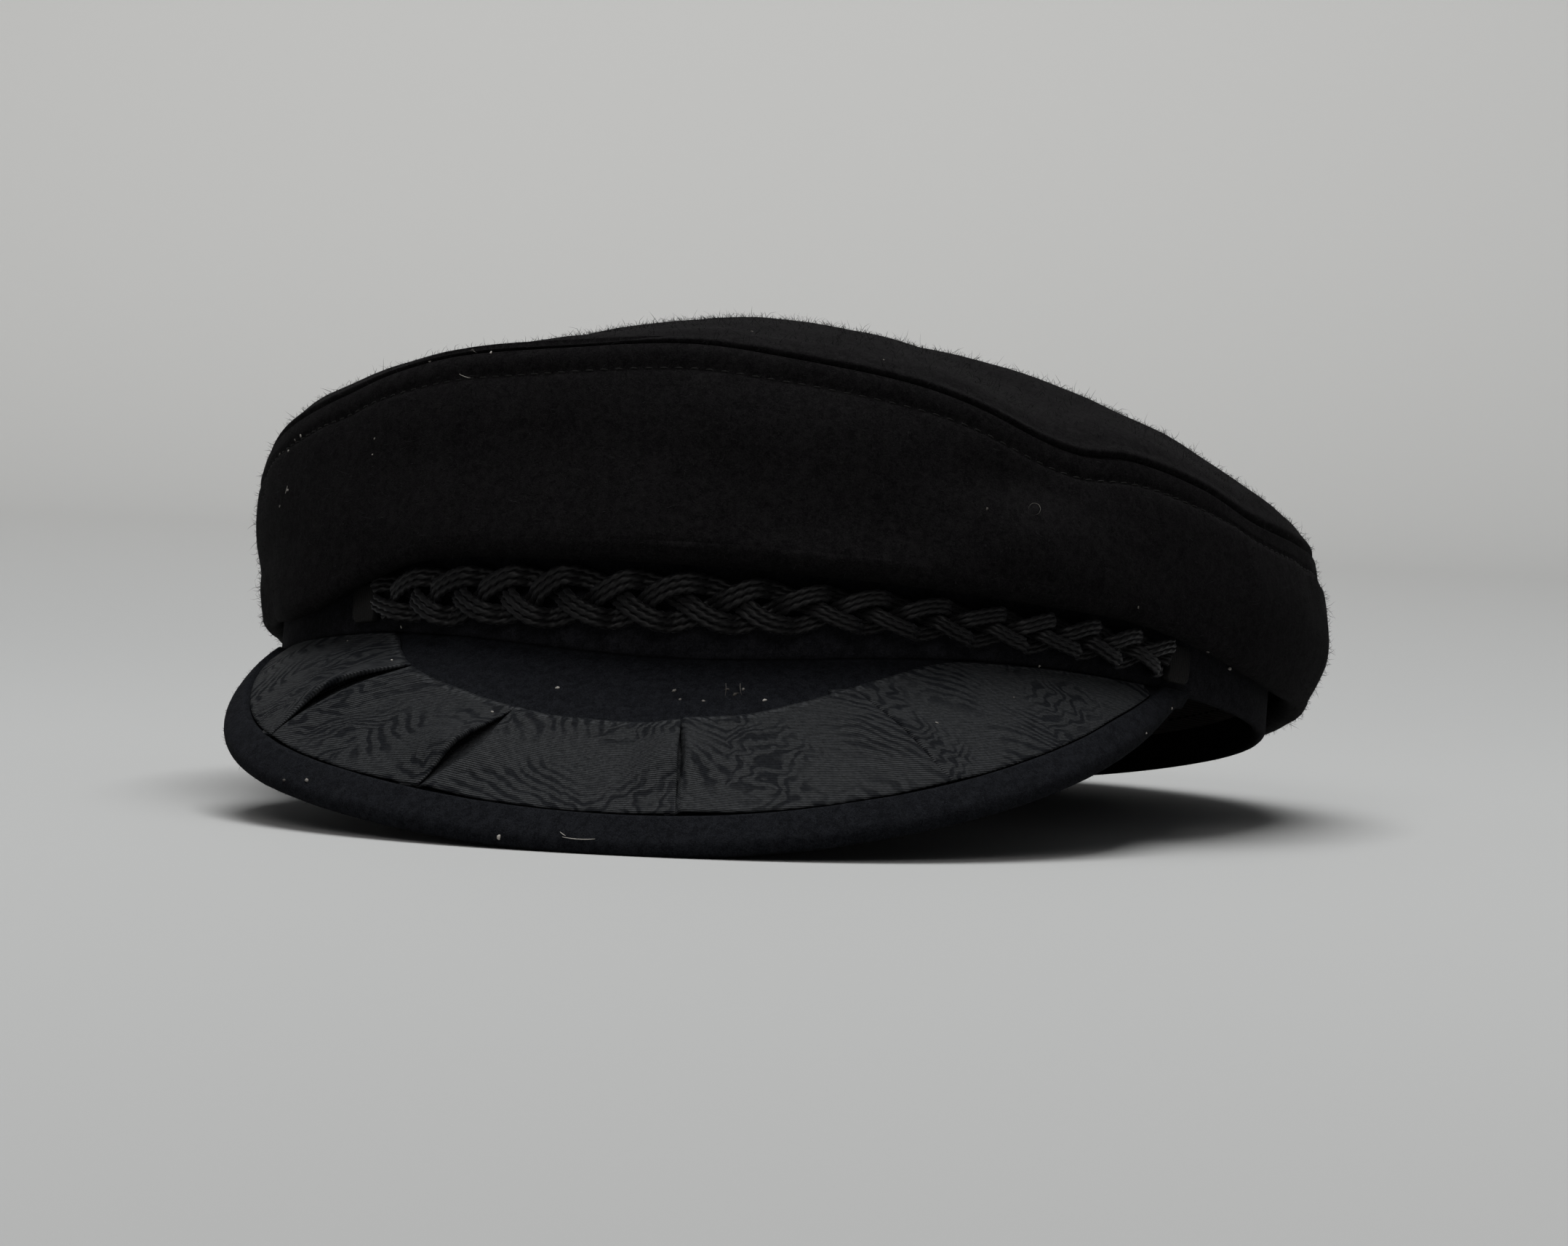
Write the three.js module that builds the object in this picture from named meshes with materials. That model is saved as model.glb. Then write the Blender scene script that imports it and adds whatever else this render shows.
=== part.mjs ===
// A soft peaked cap of black wool. A stiff headband with a sweatband inside carries a full crown,
// which is a side panel closed by a domed tip, a plaited cord over the front, and a sloping peak
// that is faced with pleated ribbon and bound with a wool rim.
// Millimetres, +Z up, the peak towards -Y and the wearer's left towards +X. Each piece is drawn in
// the headband's own frame, its lower edge near z = 0, and the whole cap is then tipped back so
// that it stands on the rim of its peak and on the back of its headband.
import * as THREE from 'three';

// Driving dimensions
const GAP = 0.3;
const COLUMNS_ROUND = 56;
const band = { halfWidth: 91, front: 99.3, rear: 99.3, x: -0.5, y: 0, wall: 2.4, top: 33 };
const bandDip = { side: 1.2, frontDrop: 5.0, frontSpread: 24, rearDrop: 2.0, rearSpread: 35 };
const belly = { halfWidth: 99.7, front: 116, rear: 110, x: 0.4, y: 7 };
const seam = { halfWidth: 97.7, front: 110, rear: 104, x: -1.2, y: 7 };
const sweatband = { wall: 1.2, lowEdge: 6.5, top: 31 };
const crownWall = 1.8;
const legsApart = 2.3;
const seamRoll = { swell: 0.6, below: 3.6, turnIn: 0.9, lip: 1.4 };
const dome = { x: 0, y: 5, height: 68.6, fullness: 2.2 };
const peak = {
  end: 64, depth: 49.1, tail: 1.2, taper: 2.55, flare: 1.41, slope: 47.3, slopeLoss: 9.3,
  forward: 0.27, camber: 1.5, board: 2.2,
};
const peakFullness = { azimuth: -44, spread: 20, depth: 4.4 };
const rim = { width: 7.8, narrowing: 0.25, rise: 1.5, drop: 2.3, soft: 1.4, tailSide: 0.4 };
const ribbon = { thick: 1.0, end: 55.5, rows: 6, step: 0.45, least: 0.8 };
const braid = { from: -33, to: 58, period: 31.5, strands: 3, steps: 55, sides: 6 };
const strand = { thick: 1.5, crossing: 1.1, dwell: 0.2 };
const braidTab = {
  width: 6.5, thick: 2.0, low: 2.6, high: 9.6, clear: 0.9, narrowing: 0.8, soft: 0.8,
};
const settle = 0.55;

// Heights round the crown by compass angle from the front: the low fold and how far it is tucked
// in under the fullest line, the distance and height at which the cloth steps clear of the band,
// the fullest line of the side, the tip seam and the padded ridge of the tip above it.
const crownRows = [
  { azimuth: -140, fold: 5, tuck: 1.2, clear: 3.2, step: 12, belly: 19, seam: 35, ridge: 3 },
  { azimuth: -100, fold: 6.8, tuck: 1.8, clear: 3.2, step: 12, belly: 21, seam: 35.5, ridge: 3 },
  { azimuth: -75, fold: 7.6, tuck: 3.2, clear: 4, step: 14, belly: 23, seam: 36.6, ridge: 3.2 },
  { azimuth: -60, fold: 6.0, tuck: 2.4, clear: 5.4, step: 13.6, belly: 24, seam: 39.8, ridge: 3.2 },
  { azimuth: -50, fold: 4.6, tuck: 0.8, clear: 7, step: 13.6, belly: 22, seam: 41.7, ridge: 3 },
  { azimuth: -40, fold: 5.8, tuck: 0, clear: 7, step: 13.8, belly: 20, seam: 43.8, ridge: 2.6 },
  { azimuth: -32, fold: 9.2, tuck: 0, clear: 6.8, step: 13.8, belly: 19.2, seam: 46.3, ridge: 1.8 },
  { azimuth: -23, fold: 12.1, tuck: -0.1, clear: 4, step: 14, belly: 18.6, seam: 48.4, ridge: 0.9 },
  { azimuth: -10, fold: 11.9, tuck: -0.2, clear: 4, step: 13.8, belly: 18.4, seam: 49.3, ridge: 0.7 },
  { azimuth: 2, fold: 11.7, tuck: -0.2, clear: 4, step: 13.8, belly: 18.4, seam: 50.4, ridge: 2.0 },
  { azimuth: 13, fold: 11.5, tuck: -0.2, clear: 4, step: 13.6, belly: 18.4, seam: 48.8, ridge: 2.4 },
  { azimuth: 24, fold: 11.2, tuck: -0.2, clear: 4, step: 13.4, belly: 18.2, seam: 46.6, ridge: 2.4 },
  { azimuth: 31, fold: 11, tuck: -0.2, clear: 4, step: 13.2, belly: 18.2, seam: 43.9, ridge: 2.4 },
  { azimuth: 38, fold: 10.9, tuck: -0.2, clear: 4, step: 13, belly: 18, seam: 40.2, ridge: 2.4 },
  { azimuth: 43, fold: 10.8, tuck: -0.1, clear: 4, step: 13, belly: 17.8, seam: 38.8, ridge: 2.6 },
  { azimuth: 50, fold: 10.6, tuck: 0, clear: 4, step: 13, belly: 17.8, seam: 39.5, ridge: 2.8 },
  { azimuth: 61, fold: 8.8, tuck: 0.3, clear: 6.4, step: 13, belly: 18, seam: 37.8, ridge: 3 },
  { azimuth: 72, fold: 7.4, tuck: 1.8, clear: 5, step: 12, belly: 19, seam: 34.8, ridge: 3.6 },
  { azimuth: 86, fold: 6.4, tuck: 3.0, clear: 3.6, step: 11, belly: 18.5, seam: 34.6, ridge: 3.8 },
  { azimuth: 102, fold: 7.2, tuck: 3.2, clear: 3.2, step: 11, belly: 18.5, seam: 35.2, ridge: 3.8 },
  { azimuth: 140, fold: 6, tuck: 1.8, clear: 3.2, step: 12, belly: 18, seam: 35, ridge: 3.2 },
  { azimuth: 180, fold: 8, tuck: 0.8, clear: 3.2, step: 13, belly: 20, seam: 35, ridge: 3 },
];
// Hollows (negative) and fullnesses of the side panel, in degrees and millimetres.
const sideDents = [
  { azimuth: -14, spread: 20, height: 30, reach: 7, depth: -0.9 },
  { azimuth: 11, spread: 10, height: 35, reach: 6, depth: 0.6 },
  { azimuth: 19, spread: 9, height: 22, reach: 7.5, depth: -1.1 },
  { azimuth: 37, spread: 8, height: 21, reach: 6, depth: 1.2 },
  { azimuth: 35, spread: 8, height: 31.5, reach: 4.5, depth: -1.8 },
  { azimuth: -62, spread: 14, height: 9, reach: 5, depth: 1.1 },
  { azimuth: -66, spread: 13, height: 18, reach: 3.5, depth: -1.2 },
  { azimuth: 128, spread: 12, height: 24, reach: 8, depth: -1.8 },
  { azimuth: 162, spread: 12, height: 20, reach: 7, depth: 1.2 },
  { azimuth: -118, spread: 13, height: 25, reach: 8, depth: -1.6 },
];
// Hollows and fullnesses of the tip, by place in plan.
const tipDents = [
  { x: 52, y: -52, reach: 16, depth: -1.4 },
  { x: -41, y: -64, reach: 24, depth: -3.8 },
  { x: -48, y: -10, reach: 22, depth: -3.0 },
  { x: -8, y: -36, reach: 16, depth: 1.0 },
  { x: -30, y: 52, reach: 26, depth: -1.4 },
  { x: 34, y: 62, reach: 24, depth: -1.4 },
  { x: 66, y: 8, reach: 14, depth: 1.0 },
];
// The ribbon's inner selvedge: its distance down the peak from the headband.
const selvedgeRows = [
  { azimuth: -60, down: 0.8 },
  { azimuth: -40, down: 0.8 },
  { azimuth: -30.5, down: 1.0 },
  { azimuth: -27, down: 6.6 },
  { azimuth: -23.4, down: 11.7 },
  { azimuth: -16.2, down: 15.8 },
  { azimuth: -10.3, down: 19.2 },
  { azimuth: -3, down: 19.5 },
  { azimuth: 4.4, down: 19.2 },
  { azimuth: 7.6, down: 17.6 },
  { azimuth: 11.6, down: 15.8 },
  { azimuth: 17.4, down: 11.6 },
  { azimuth: 20.8, down: 9.0 },
  { azimuth: 24.5, down: 5.2 },
  { azimuth: 29, down: 1.6 },
  { azimuth: 36, down: 0.8 },
  { azimuth: 60, down: 0.8 },
];
// The pleats: where each starts at the selvedge and ends at the rim, how far it bows between them,
// and how its upper layer stands up at the one and the other end.
const pleatRows = [
  { inner: -24, outer: -34.8, bow: -2.2, lift: 1.7, liftAtRim: 0.5, width: 5.5 },
  { inner: -10.5, outer: -15.6, bow: 0, lift: 1.6, liftAtRim: 0.2, width: 5 },
  { inner: 4.6, outer: 5.8, bow: 0, lift: 1.3, liftAtRim: 0.2, width: 4 },
  { inner: 19.6, outer: 27.8, bow: 0, lift: 0.8, liftAtRim: 0.2, width: 5 },
];
// The plait's middle line, how far its strands swing up and out of it, and a strand's width.
const braidRows = [
  { azimuth: -44, height: 5.0, lateral: 2.2, depth: 1.05, width: 2.6 },
  { azimuth: -34, height: 6.2, lateral: 2.6, depth: 1.2, width: 2.7 },
  { azimuth: -24, height: 6.5, lateral: 3.4, depth: 1.35, width: 3.5 },
  { azimuth: -8, height: 5.9, lateral: 3.4, depth: 1.35, width: 3.5 },
  { azimuth: 8, height: 5.8, lateral: 3.4, depth: 1.35, width: 3.5 },
  { azimuth: 16, height: 6.3, lateral: 2.8, depth: 1.55, width: 2.9 },
  { azimuth: 31, height: 6.4, lateral: 2.5, depth: 1.7, width: 2.6 },
  { azimuth: 45, height: 6.6, lateral: 2.5, depth: 1.7, width: 2.6 },
  { azimuth: 64, height: 6.4, lateral: 2.3, depth: 1.3, width: 2.6 },
];

const wool = { color: 0x0d0d10, roughness: 0.95, metalness: 0 };
const finishes = {
  crown: new THREE.MeshStandardMaterial({ ...wool, color: 0x0c0c0d }),
  band: new THREE.MeshStandardMaterial(wool),
  sweat: new THREE.MeshStandardMaterial({ color: 0x0a0a0b, roughness: 0.6, metalness: 0 }),
  peak: new THREE.MeshStandardMaterial({ ...wool, color: 0x0c0e14 }),
  ribbon: new THREE.MeshStandardMaterial({ color: 0x26262a, roughness: 0.55, metalness: 0 }),
  cord: new THREE.MeshStandardMaterial({ color: 0x111113, roughness: 0.5, metalness: 0 }),
};

const radians = THREE.MathUtils.degToRad;
const blend = THREE.MathUtils.lerp;

// Shared shapes: eased tables, ovals and lofts

// A table's column at any azimuth in degrees, eased between its rows; a closed table runs round.
function eased(rows, column, closed = false) {
  const turns = closed ? [-360, 0, 360] : [0];
  const places = turns.flatMap((turn) => rows.map((row) => row.azimuth + turn));
  const values = turns.flatMap(() => rows.map((row) => row[column]));
  const curve = new THREE.CubicInterpolant(places, values, 1);
  return (azimuth) => curve.evaluate(azimuth)[0];
}

// The point of an oval at a compass angle from its centre, with the oval's outward normal there.
function onOval(oval, azimuth) {
  const angle = radians(azimuth);
  const depth = Math.cos(angle) > 0 ? oval.front : oval.rear;
  const radius = 1 / Math.hypot(Math.sin(angle) / oval.halfWidth, Math.cos(angle) / depth);
  const x = radius * Math.sin(angle);
  const y = -radius * Math.cos(angle);
  const normal = new THREE.Vector2(x / oval.halfWidth ** 2, y / depth ** 2).normalize();
  return { point: new THREE.Vector2(oval.x + x, oval.y + y), normal };
}

// How far outward from the headband an oval lies, found by halving.
function outTo(oval, azimuth) {
  const { point, normal } = onOval(band, azimuth);
  let near = -10;
  let far = 40;
  for (let i = 0; i < 40; i += 1) {
    const out = (near + far) / 2;
    const x = point.x + normal.x * out - oval.x;
    const y = point.y + normal.y * out - oval.y;
    const inside = Math.hypot(x / oval.halfWidth, y / (y < 0 ? oval.front : oval.rear)) < 1;
    near = inside ? out : near;
    far = inside ? far : out;
  }
  return near;
}

// A place given by its distance out from the headband's outer face and its height.
function offBand(azimuth, out, height) {
  const { point, normal } = onOval(band, azimuth);
  return new THREE.Vector3(point.x + normal.x * out, point.y + normal.y * out, height);
}

function bandEdge(azimuth) {
  const behind = 180 - Math.abs(azimuth);
  const front = bandDip.frontDrop * Math.exp(-(((azimuth - 2) / bandDip.frontSpread) ** 2));
  const rear = bandDip.rearDrop * Math.exp(-((behind / bandDip.rearSpread) ** 2));
  return bandDip.side - front - rear;
}

// A closed body through rings of points. The rings either run round and meet, or are capped.
function loft(rings, runsRound) {
  const size = rings[0].length;
  const places = rings.flat().flatMap((p) => [p.x, p.y, p.z]);
  const index = [];
  const spans = runsRound ? rings.length : rings.length - 1;
  for (let i = 0; i < spans; i += 1) {
    const next = (i + 1) % rings.length;
    for (let j = 0; j < size; j += 1) {
      const k = (j + 1) % size;
      index.push(i * size + j, next * size + j, next * size + k);
      index.push(i * size + j, next * size + k, i * size + k);
    }
  }
  if (!runsRound) {
    for (const [ring, flip] of [[0, false], [rings.length - 1, true]]) {
      const middle = new THREE.Vector3();
      rings[ring].forEach((p) => middle.addScaledVector(p, 1 / size));
      places.push(middle.x, middle.y, middle.z);
      const centre = places.length / 3 - 1;
      for (let j = 0; j < size; j += 1) {
        const a = ring * size + j;
        const b = ring * size + ((j + 1) % size);
        index.push(centre, ...(flip ? [b, a] : [a, b]));
      }
    }
  }
  return outward(places, index);
}

// A geometry whose faces look outward, whichever way its rings were walked.
function outward(places, index) {
  let volume = 0;
  const at = (i) => new THREE.Vector3().fromArray(places, i * 3);
  for (let i = 0; i < index.length; i += 3) {
    volume += at(index[i]).dot(at(index[i + 1]).cross(at(index[i + 2])));
  }
  const faces = volume > 0 ? index : index.slice().reverse();
  const geometry = new THREE.BufferGeometry();
  geometry.setAttribute('position', new THREE.Float32BufferAttribute(places, 3));
  geometry.setIndex(faces);
  geometry.computeVertexNormals();
  return geometry;
}

function azimuths(count, from, to) {
  return Array.from({ length: count }, (_, i) => from + ((to - from) * i) / (count - 1));
}

function azimuthsRound(count) {
  return Array.from({ length: count }, (_, i) => -180 + (360 * i) / count);
}

// Crown

const crown = Object.fromEntries(
  ['fold', 'tuck', 'clear', 'step', 'belly', 'seam', 'ridge'].map(
    (name) => [name, eased(crownRows, name, true)],
  ),
);

function angleBetween(a, b) {
  return ((a - b + 540) % 360) - 180;
}

function sideDent(azimuth, height) {
  return sideDents.reduce((sum, dent) => {
    const along = angleBetween(azimuth, dent.azimuth) / dent.spread;
    const up = (height - dent.height) / dent.reach;
    return sum + dent.depth * Math.exp(-(along ** 2) - up ** 2);
  }, 0);
}

// The middle of the side panel's cloth at one azimuth, as distance out and height: from the top of
// the headband down its face, clear of the plait, round the low fold and up to the tip seam.
function sideProfile(azimuth) {
  const half = crownWall / 2;
  const reach = outTo(belly, azimuth) - half;
  const seamOut = outTo(seam, azimuth) - half;
  const [full, top] = [crown.belly(azimuth), crown.seam(azimuth)];
  const onBand = GAP + half;
  const low = reach - crown.tuck(azimuth);
  const inner = Math.max(Math.min(crown.clear(azimuth), low - legsApart), onBand);
  const turn = Math.max(low - inner, legsApart) / 2;
  const turnHeight = crown.fold(azimuth) + half + turn;
  const step = Math.max(crown.step(azimuth), turnHeight + 1);
  const downTheBand = new THREE.SplineCurve([
    new THREE.Vector2(onBand, band.top - 2),
    new THREE.Vector2(onBand, step + 4),
    new THREE.Vector2(inner, step),
    new THREE.Vector2(inner, turnHeight),
  ]);
  const lowFold = new THREE.EllipseCurve(inner + turn, turnHeight, turn, turn, Math.PI, 2 * Math.PI);
  const upTheSide = new THREE.SplineCurve([
    new THREE.Vector2(inner + turn * 2, turnHeight),
    new THREE.Vector2(reach, full),
    new THREE.Vector2(blend(reach, seamOut, 0.55) + seamRoll.swell, blend(full, top, 0.6)),
    new THREE.Vector2(seamOut + seamRoll.swell, top - seamRoll.below),
    new THREE.Vector2(seamOut - seamRoll.turnIn, top - seamRoll.lip),
    new THREE.Vector2(seamOut - seamRoll.turnIn, top - GAP / 2),
  ]);
  const stretches = [
    { curve: downTheBand, shares: [0, 1 / 3, 2 / 3] },
    { curve: lowFold, shares: [0, 1 / 3, 2 / 3] },
    { curve: upTheSide, shares: [0, 0.1, 0.2, 0.3, 0.4, 0.6, 0.8, 1] },
  ];
  return stretches.flatMap(({ curve, shares }) => shares.map((share) => {
    const place = curve.getPoint(share);
    const along = curve.getTangent(share);
    const across = new THREE.Vector2(along.y, -along.x).normalize();
    if (curve === upTheSide) {
      place.x += sideDent(azimuth, place.y) * THREE.MathUtils.smoothstep(share, 0, 0.2);
    }
    return share === 1 ? { place, across: new THREE.Vector2(1, 0) } : { place, across };
  }));
}

function crownSide() {
  const rings = azimuthsRound(COLUMNS_ROUND).map((azimuth) => {
    const profile = sideProfile(azimuth);
    const skin = (side) => profile.map(({ place, across }) => {
      const face = place.clone().addScaledVector(across, (side * crownWall) / 2);
      return offBand(azimuth, face.x, face.y);
    });
    return [...skin(1), ...skin(-1).reverse()];
  });
  return loft(rings, true);
}

function tipDent(x, y) {
  return tipDents.reduce((sum, dent) => {
    const away = Math.hypot(x - dent.x, y - dent.y) / dent.reach;
    return sum + dent.depth * Math.exp(-(away ** 2));
  }, 0);
}

// One face of the tip's cloth along one azimuth, from the seam up over its padded ridge to the
// middle of the dome; inset is the distance in from the outer face.
function tipProfile(azimuth, inset) {
  const top = crown.seam(azimuth);
  const face = outTo(seam, azimuth) - seamRoll.turnIn;
  const edge = offBand(azimuth, face - inset, top + GAP / 2);
  const bend = offBand(azimuth, face - inset, top + seamRoll.lip - inset * 0.2);
  const ridge = offBand(azimuth, face - inset, top + crown.ridge(azimuth) - inset);
  const apex = dome.height - inset;
  const shares = [0.96, 0.89, 0.78, 0.62, 0.43, 0.22];
  const over = shares.map((share) => {
    const x = blend(dome.x, ridge.x, share);
    const y = blend(dome.y, ridge.y, share);
    const rise = 1 - share ** dome.fullness;
    const fade = THREE.MathUtils.smoothstep(1 - share, 0.02, 0.2);
    return new THREE.Vector3(x, y, blend(ridge.z, apex, rise) + tipDent(x, y) * fade);
  });
  return [edge, bend, ...over];
}

function crownTip() {
  const middle = (inset) => {
    const height = dome.height - inset + tipDent(dome.x, dome.y);
    return new THREE.Vector3(dome.x, dome.y, height);
  };
  const around = azimuthsRound(COLUMNS_ROUND);
  const outer = around.map((azimuth) => tipProfile(azimuth, 0));
  const inner = around.map((azimuth) => tipProfile(azimuth, crownWall));
  const size = outer[0].length * 2;
  const places = [];
  const index = [];
  around.forEach((_, i) => {
    [...outer[i].slice().reverse(), ...inner[i]].forEach((p) => places.push(p.x, p.y, p.z));
  });
  for (const inset of [0, crownWall]) {
    places.push(...middle(inset).toArray());
  }
  const top = around.length * size;
  around.forEach((_, i) => {
    const next = (i + 1) % around.length;
    for (let j = 0; j < size - 1; j += 1) {
      index.push(i * size + j, next * size + j, next * size + j + 1);
      index.push(i * size + j, next * size + j + 1, i * size + j + 1);
    }
    index.push(top, next * size, i * size);
    index.push(top + 1, i * size + size - 1, next * size + size - 1);
  });
  return outward(places, index);
}

// Headband and sweatband

function ringBand(outerFace, wall, lowEdge, top) {
  const soft = wall * 0.3;
  const rings = azimuthsRound(COLUMNS_ROUND).map((azimuth) => {
    const low = bandEdge(azimuth) + lowEdge;
    return [
      offBand(azimuth, outerFace - soft, low),
      offBand(azimuth, outerFace, low + soft),
      offBand(azimuth, outerFace, top - soft),
      offBand(azimuth, outerFace - soft, top),
      offBand(azimuth, outerFace - wall + soft, top),
      offBand(azimuth, outerFace - wall, top - soft),
      offBand(azimuth, outerFace - wall, low + soft),
      offBand(azimuth, outerFace - wall + soft, low),
    ];
  });
  return loft(rings, true);
}

// Peak

function peakDepth(azimuth) {
  const share = Math.min(Math.abs(azimuth) / peak.end, 1);
  const away = (azimuth - peakFullness.azimuth) / peakFullness.spread;
  const fuller = peakFullness.depth * Math.exp(-(away ** 2)) * (1 - share ** 8);
  return peak.depth * (1 - share ** peak.taper) ** peak.flare + fuller + peak.tail;
}

// A place on the peak: the distance down from the headband and the lift off the board's top.
function onPeak(azimuth, down, lift) {
  const start = offBand(azimuth, 0, bandEdge(azimuth));
  const { normal } = onOval(band, azimuth);
  const ahead = new THREE.Vector2(0, -1).multiplyScalar(peak.forward);
  const heading = normal.clone().multiplyScalar(1 - peak.forward).add(ahead).normalize();
  const share = Math.abs(azimuth) / peak.end;
  const slope = radians(peak.slope - peak.slopeLoss * share ** 2);
  const depth = peakDepth(azimuth);
  const part = down / depth;
  const rise = lift + peak.camber * 4 * part * (1 - part) * Math.min(depth / peak.depth, 1);
  const out = down * Math.cos(slope) + rise * Math.sin(slope);
  const height = rise * Math.cos(slope) - down * Math.sin(slope);
  return new THREE.Vector3(
    start.x + heading.x * out, start.y + heading.y * out, start.z + height,
  );
}

function rimInside(azimuth) {
  const narrowing = rim.narrowing * THREE.MathUtils.smoothstep(Math.abs(azimuth), 45, 58);
  return Math.max(peakDepth(azimuth) - rim.width * (1 - narrowing), rim.tailSide);
}

function peakBoard() {
  const steps = [0, 0.2, 0.4, 0.6, 0.8, 1];
  const end = ribbon.end - 0.5;
  const rings = azimuths(45, -end, end).map((azimuth) => {
    const inside = rimInside(azimuth) - GAP;
    const row = (lift) => steps.map((step) => {
      const down = blend(rim.tailSide, inside, step);
      return onPeak(azimuth, down, lift);
    });
    return [...row(0), ...row(-peak.board).reverse()];
  });
  return loft(rings, false);
}

function peakRim() {
  const rings = azimuths(55, -peak.end, peak.end).map((azimuth) => {
    const outer = peakDepth(azimuth);
    const inner = rimInside(azimuth);
    const soft = Math.min(rim.soft, (outer - inner) * 0.35);
    const middle = (rim.rise - rim.drop) / 2;
    return [
      onPeak(azimuth, inner, rim.rise - soft * 0.35),
      onPeak(azimuth, inner + soft * 0.6, rim.rise),
      onPeak(azimuth, outer - soft, rim.rise - soft * 0.2),
      onPeak(azimuth, outer - soft * 0.25, blend(middle, rim.rise, 0.5)),
      onPeak(azimuth, outer, middle),
      onPeak(azimuth, outer - soft * 0.3, blend(middle, -rim.drop, 0.6)),
      onPeak(azimuth, outer - soft, -rim.drop),
      onPeak(azimuth, inner, -rim.drop),
    ];
  });
  return loft(rings, false);
}

const selvedge = eased(selvedgeRows, 'down');

// The ribbon's columns: each panel runs from one pleat to the next, closer together at its ends,
// and its upper layer rises towards the pleat at its right.
function ribbonColumns() {
  const stops = [
    { inner: -ribbon.end, outer: -ribbon.end, bow: 0, lift: 0, liftAtRim: 0, width: 5 },
    ...pleatRows,
    { inner: ribbon.end, outer: ribbon.end, bow: 0, lift: 0, liftAtRim: 0, width: 5 },
  ];
  const shares = [0, 0.1, 0.25, 0.42, 0.58, 0.72, 0.84, 0.92, 0.97, 1];
  return stops.slice(1).flatMap((right, i) => {
    const left = stops[i];
    const fresh = i > 0 ? ribbon.step : 0;
    return shares.map((share) => {
      const inner = blend(left.inner + fresh, right.inner, share);
      const outer = blend(left.outer + fresh, right.outer, share);
      const away = radians(right.inner - inner) * band.front;
      const near = Math.max(1 - away / right.width, 0) ** 2;
      const bow = blend(left.bow, right.bow, share);
      return { inner, outer, bow, lift: right.lift * near, liftAtRim: right.liftAtRim * near };
    });
  });
}

function peakRibbon() {
  const rings = ribbonColumns().map((column) => {
    const low = Math.min(selvedge(column.inner), rimInside(column.inner) - GAP - ribbon.least);
    const start = Math.max(low, rim.tailSide + GAP);
    const stop = Math.max(rimInside(column.outer) - GAP, start + ribbon.least);
    const row = (base, raised) => Array.from({ length: ribbon.rows }, (_, j) => {
      const share = j / (ribbon.rows - 1);
      const bowed = column.bow * 4 * share * (1 - share);
      const azimuth = blend(column.inner, column.outer, share) + bowed;
      const lift = raised ? blend(column.lift, column.liftAtRim, share) : 0;
      return onPeak(azimuth, blend(start, stop, share), base + lift);
    });
    return [...row(GAP + ribbon.thick, true), ...row(GAP, false).reverse()];
  });
  return loft(rings, false);
}

// Plait

const plait = Object.fromEntries(
  ['height', 'lateral', 'depth', 'width'].map((name) => [name, eased(braidRows, name)]),
);

// The middle of one strand. The strands swap sides in turn, and each dips behind the next.
function strandPath(azimuth, which) {
  const along = radians(azimuth) * band.front;
  const turn = (2 * Math.PI * along) / braid.period + (2 * Math.PI * which) / braid.strands;
  const swing = Math.sin(2 * turn);
  const dip = (swing / Math.sqrt(swing ** 2 + strand.dwell)) * strand.crossing;
  const middle = GAP + strand.thick * 0.6 + plait.depth(azimuth) * 1.02;
  return offBand(
    azimuth,
    middle + plait.depth(azimuth) * dip,
    plait.height(azimuth) + plait.lateral(azimuth) * Math.sin(turn),
  );
}

function braidStrand(which) {
  const rings = azimuths(braid.steps, braid.from, braid.to).map((azimuth) => {
    const place = strandPath(azimuth, which);
    const ahead = strandPath(azimuth + 0.3, which);
    const along = ahead.sub(strandPath(azimuth - 0.3, which)).normalize();
    const { normal } = onOval(band, azimuth);
    const face = new THREE.Vector3(normal.x, normal.y, 0);
    face.addScaledVector(along, -face.dot(along)).normalize();
    const side = new THREE.Vector3().crossVectors(along, face);
    return Array.from({ length: braid.sides }, (_, j) => {
      const angle = (2 * Math.PI * j) / braid.sides;
      return place.clone()
        .addScaledVector(side, (Math.cos(angle) * plait.width(azimuth)) / 2)
        .addScaledVector(face, (Math.sin(angle) * strand.thick) / 2 / Math.sin(Math.PI / 3));
    });
  });
  return loft(rings, false);
}

// The plain sewn tab that each end of the plait runs into, under the crown's overhang.
function braidEnd(from, towards) {
  const width = braidTab.width / radians(1) / band.front;
  const start = from + towards * braidTab.clear;
  const rings = azimuths(5, start, start + towards * width).map((azimuth, i) => {
    const narrower = i === 4 ? braidTab.narrowing : 0;
    const [low, high] = [braidTab.low + narrower, braidTab.high - narrower];
    const face = GAP + braidTab.thick;
    return [
      offBand(azimuth, GAP, low),
      offBand(azimuth, face - braidTab.soft, low),
      offBand(azimuth, face, low + braidTab.soft),
      offBand(azimuth, face, high - braidTab.soft),
      offBand(azimuth, face - braidTab.soft, high),
      offBand(azimuth, GAP, high),
    ];
  });
  return loft(rings, false);
}

// Assembly

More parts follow.
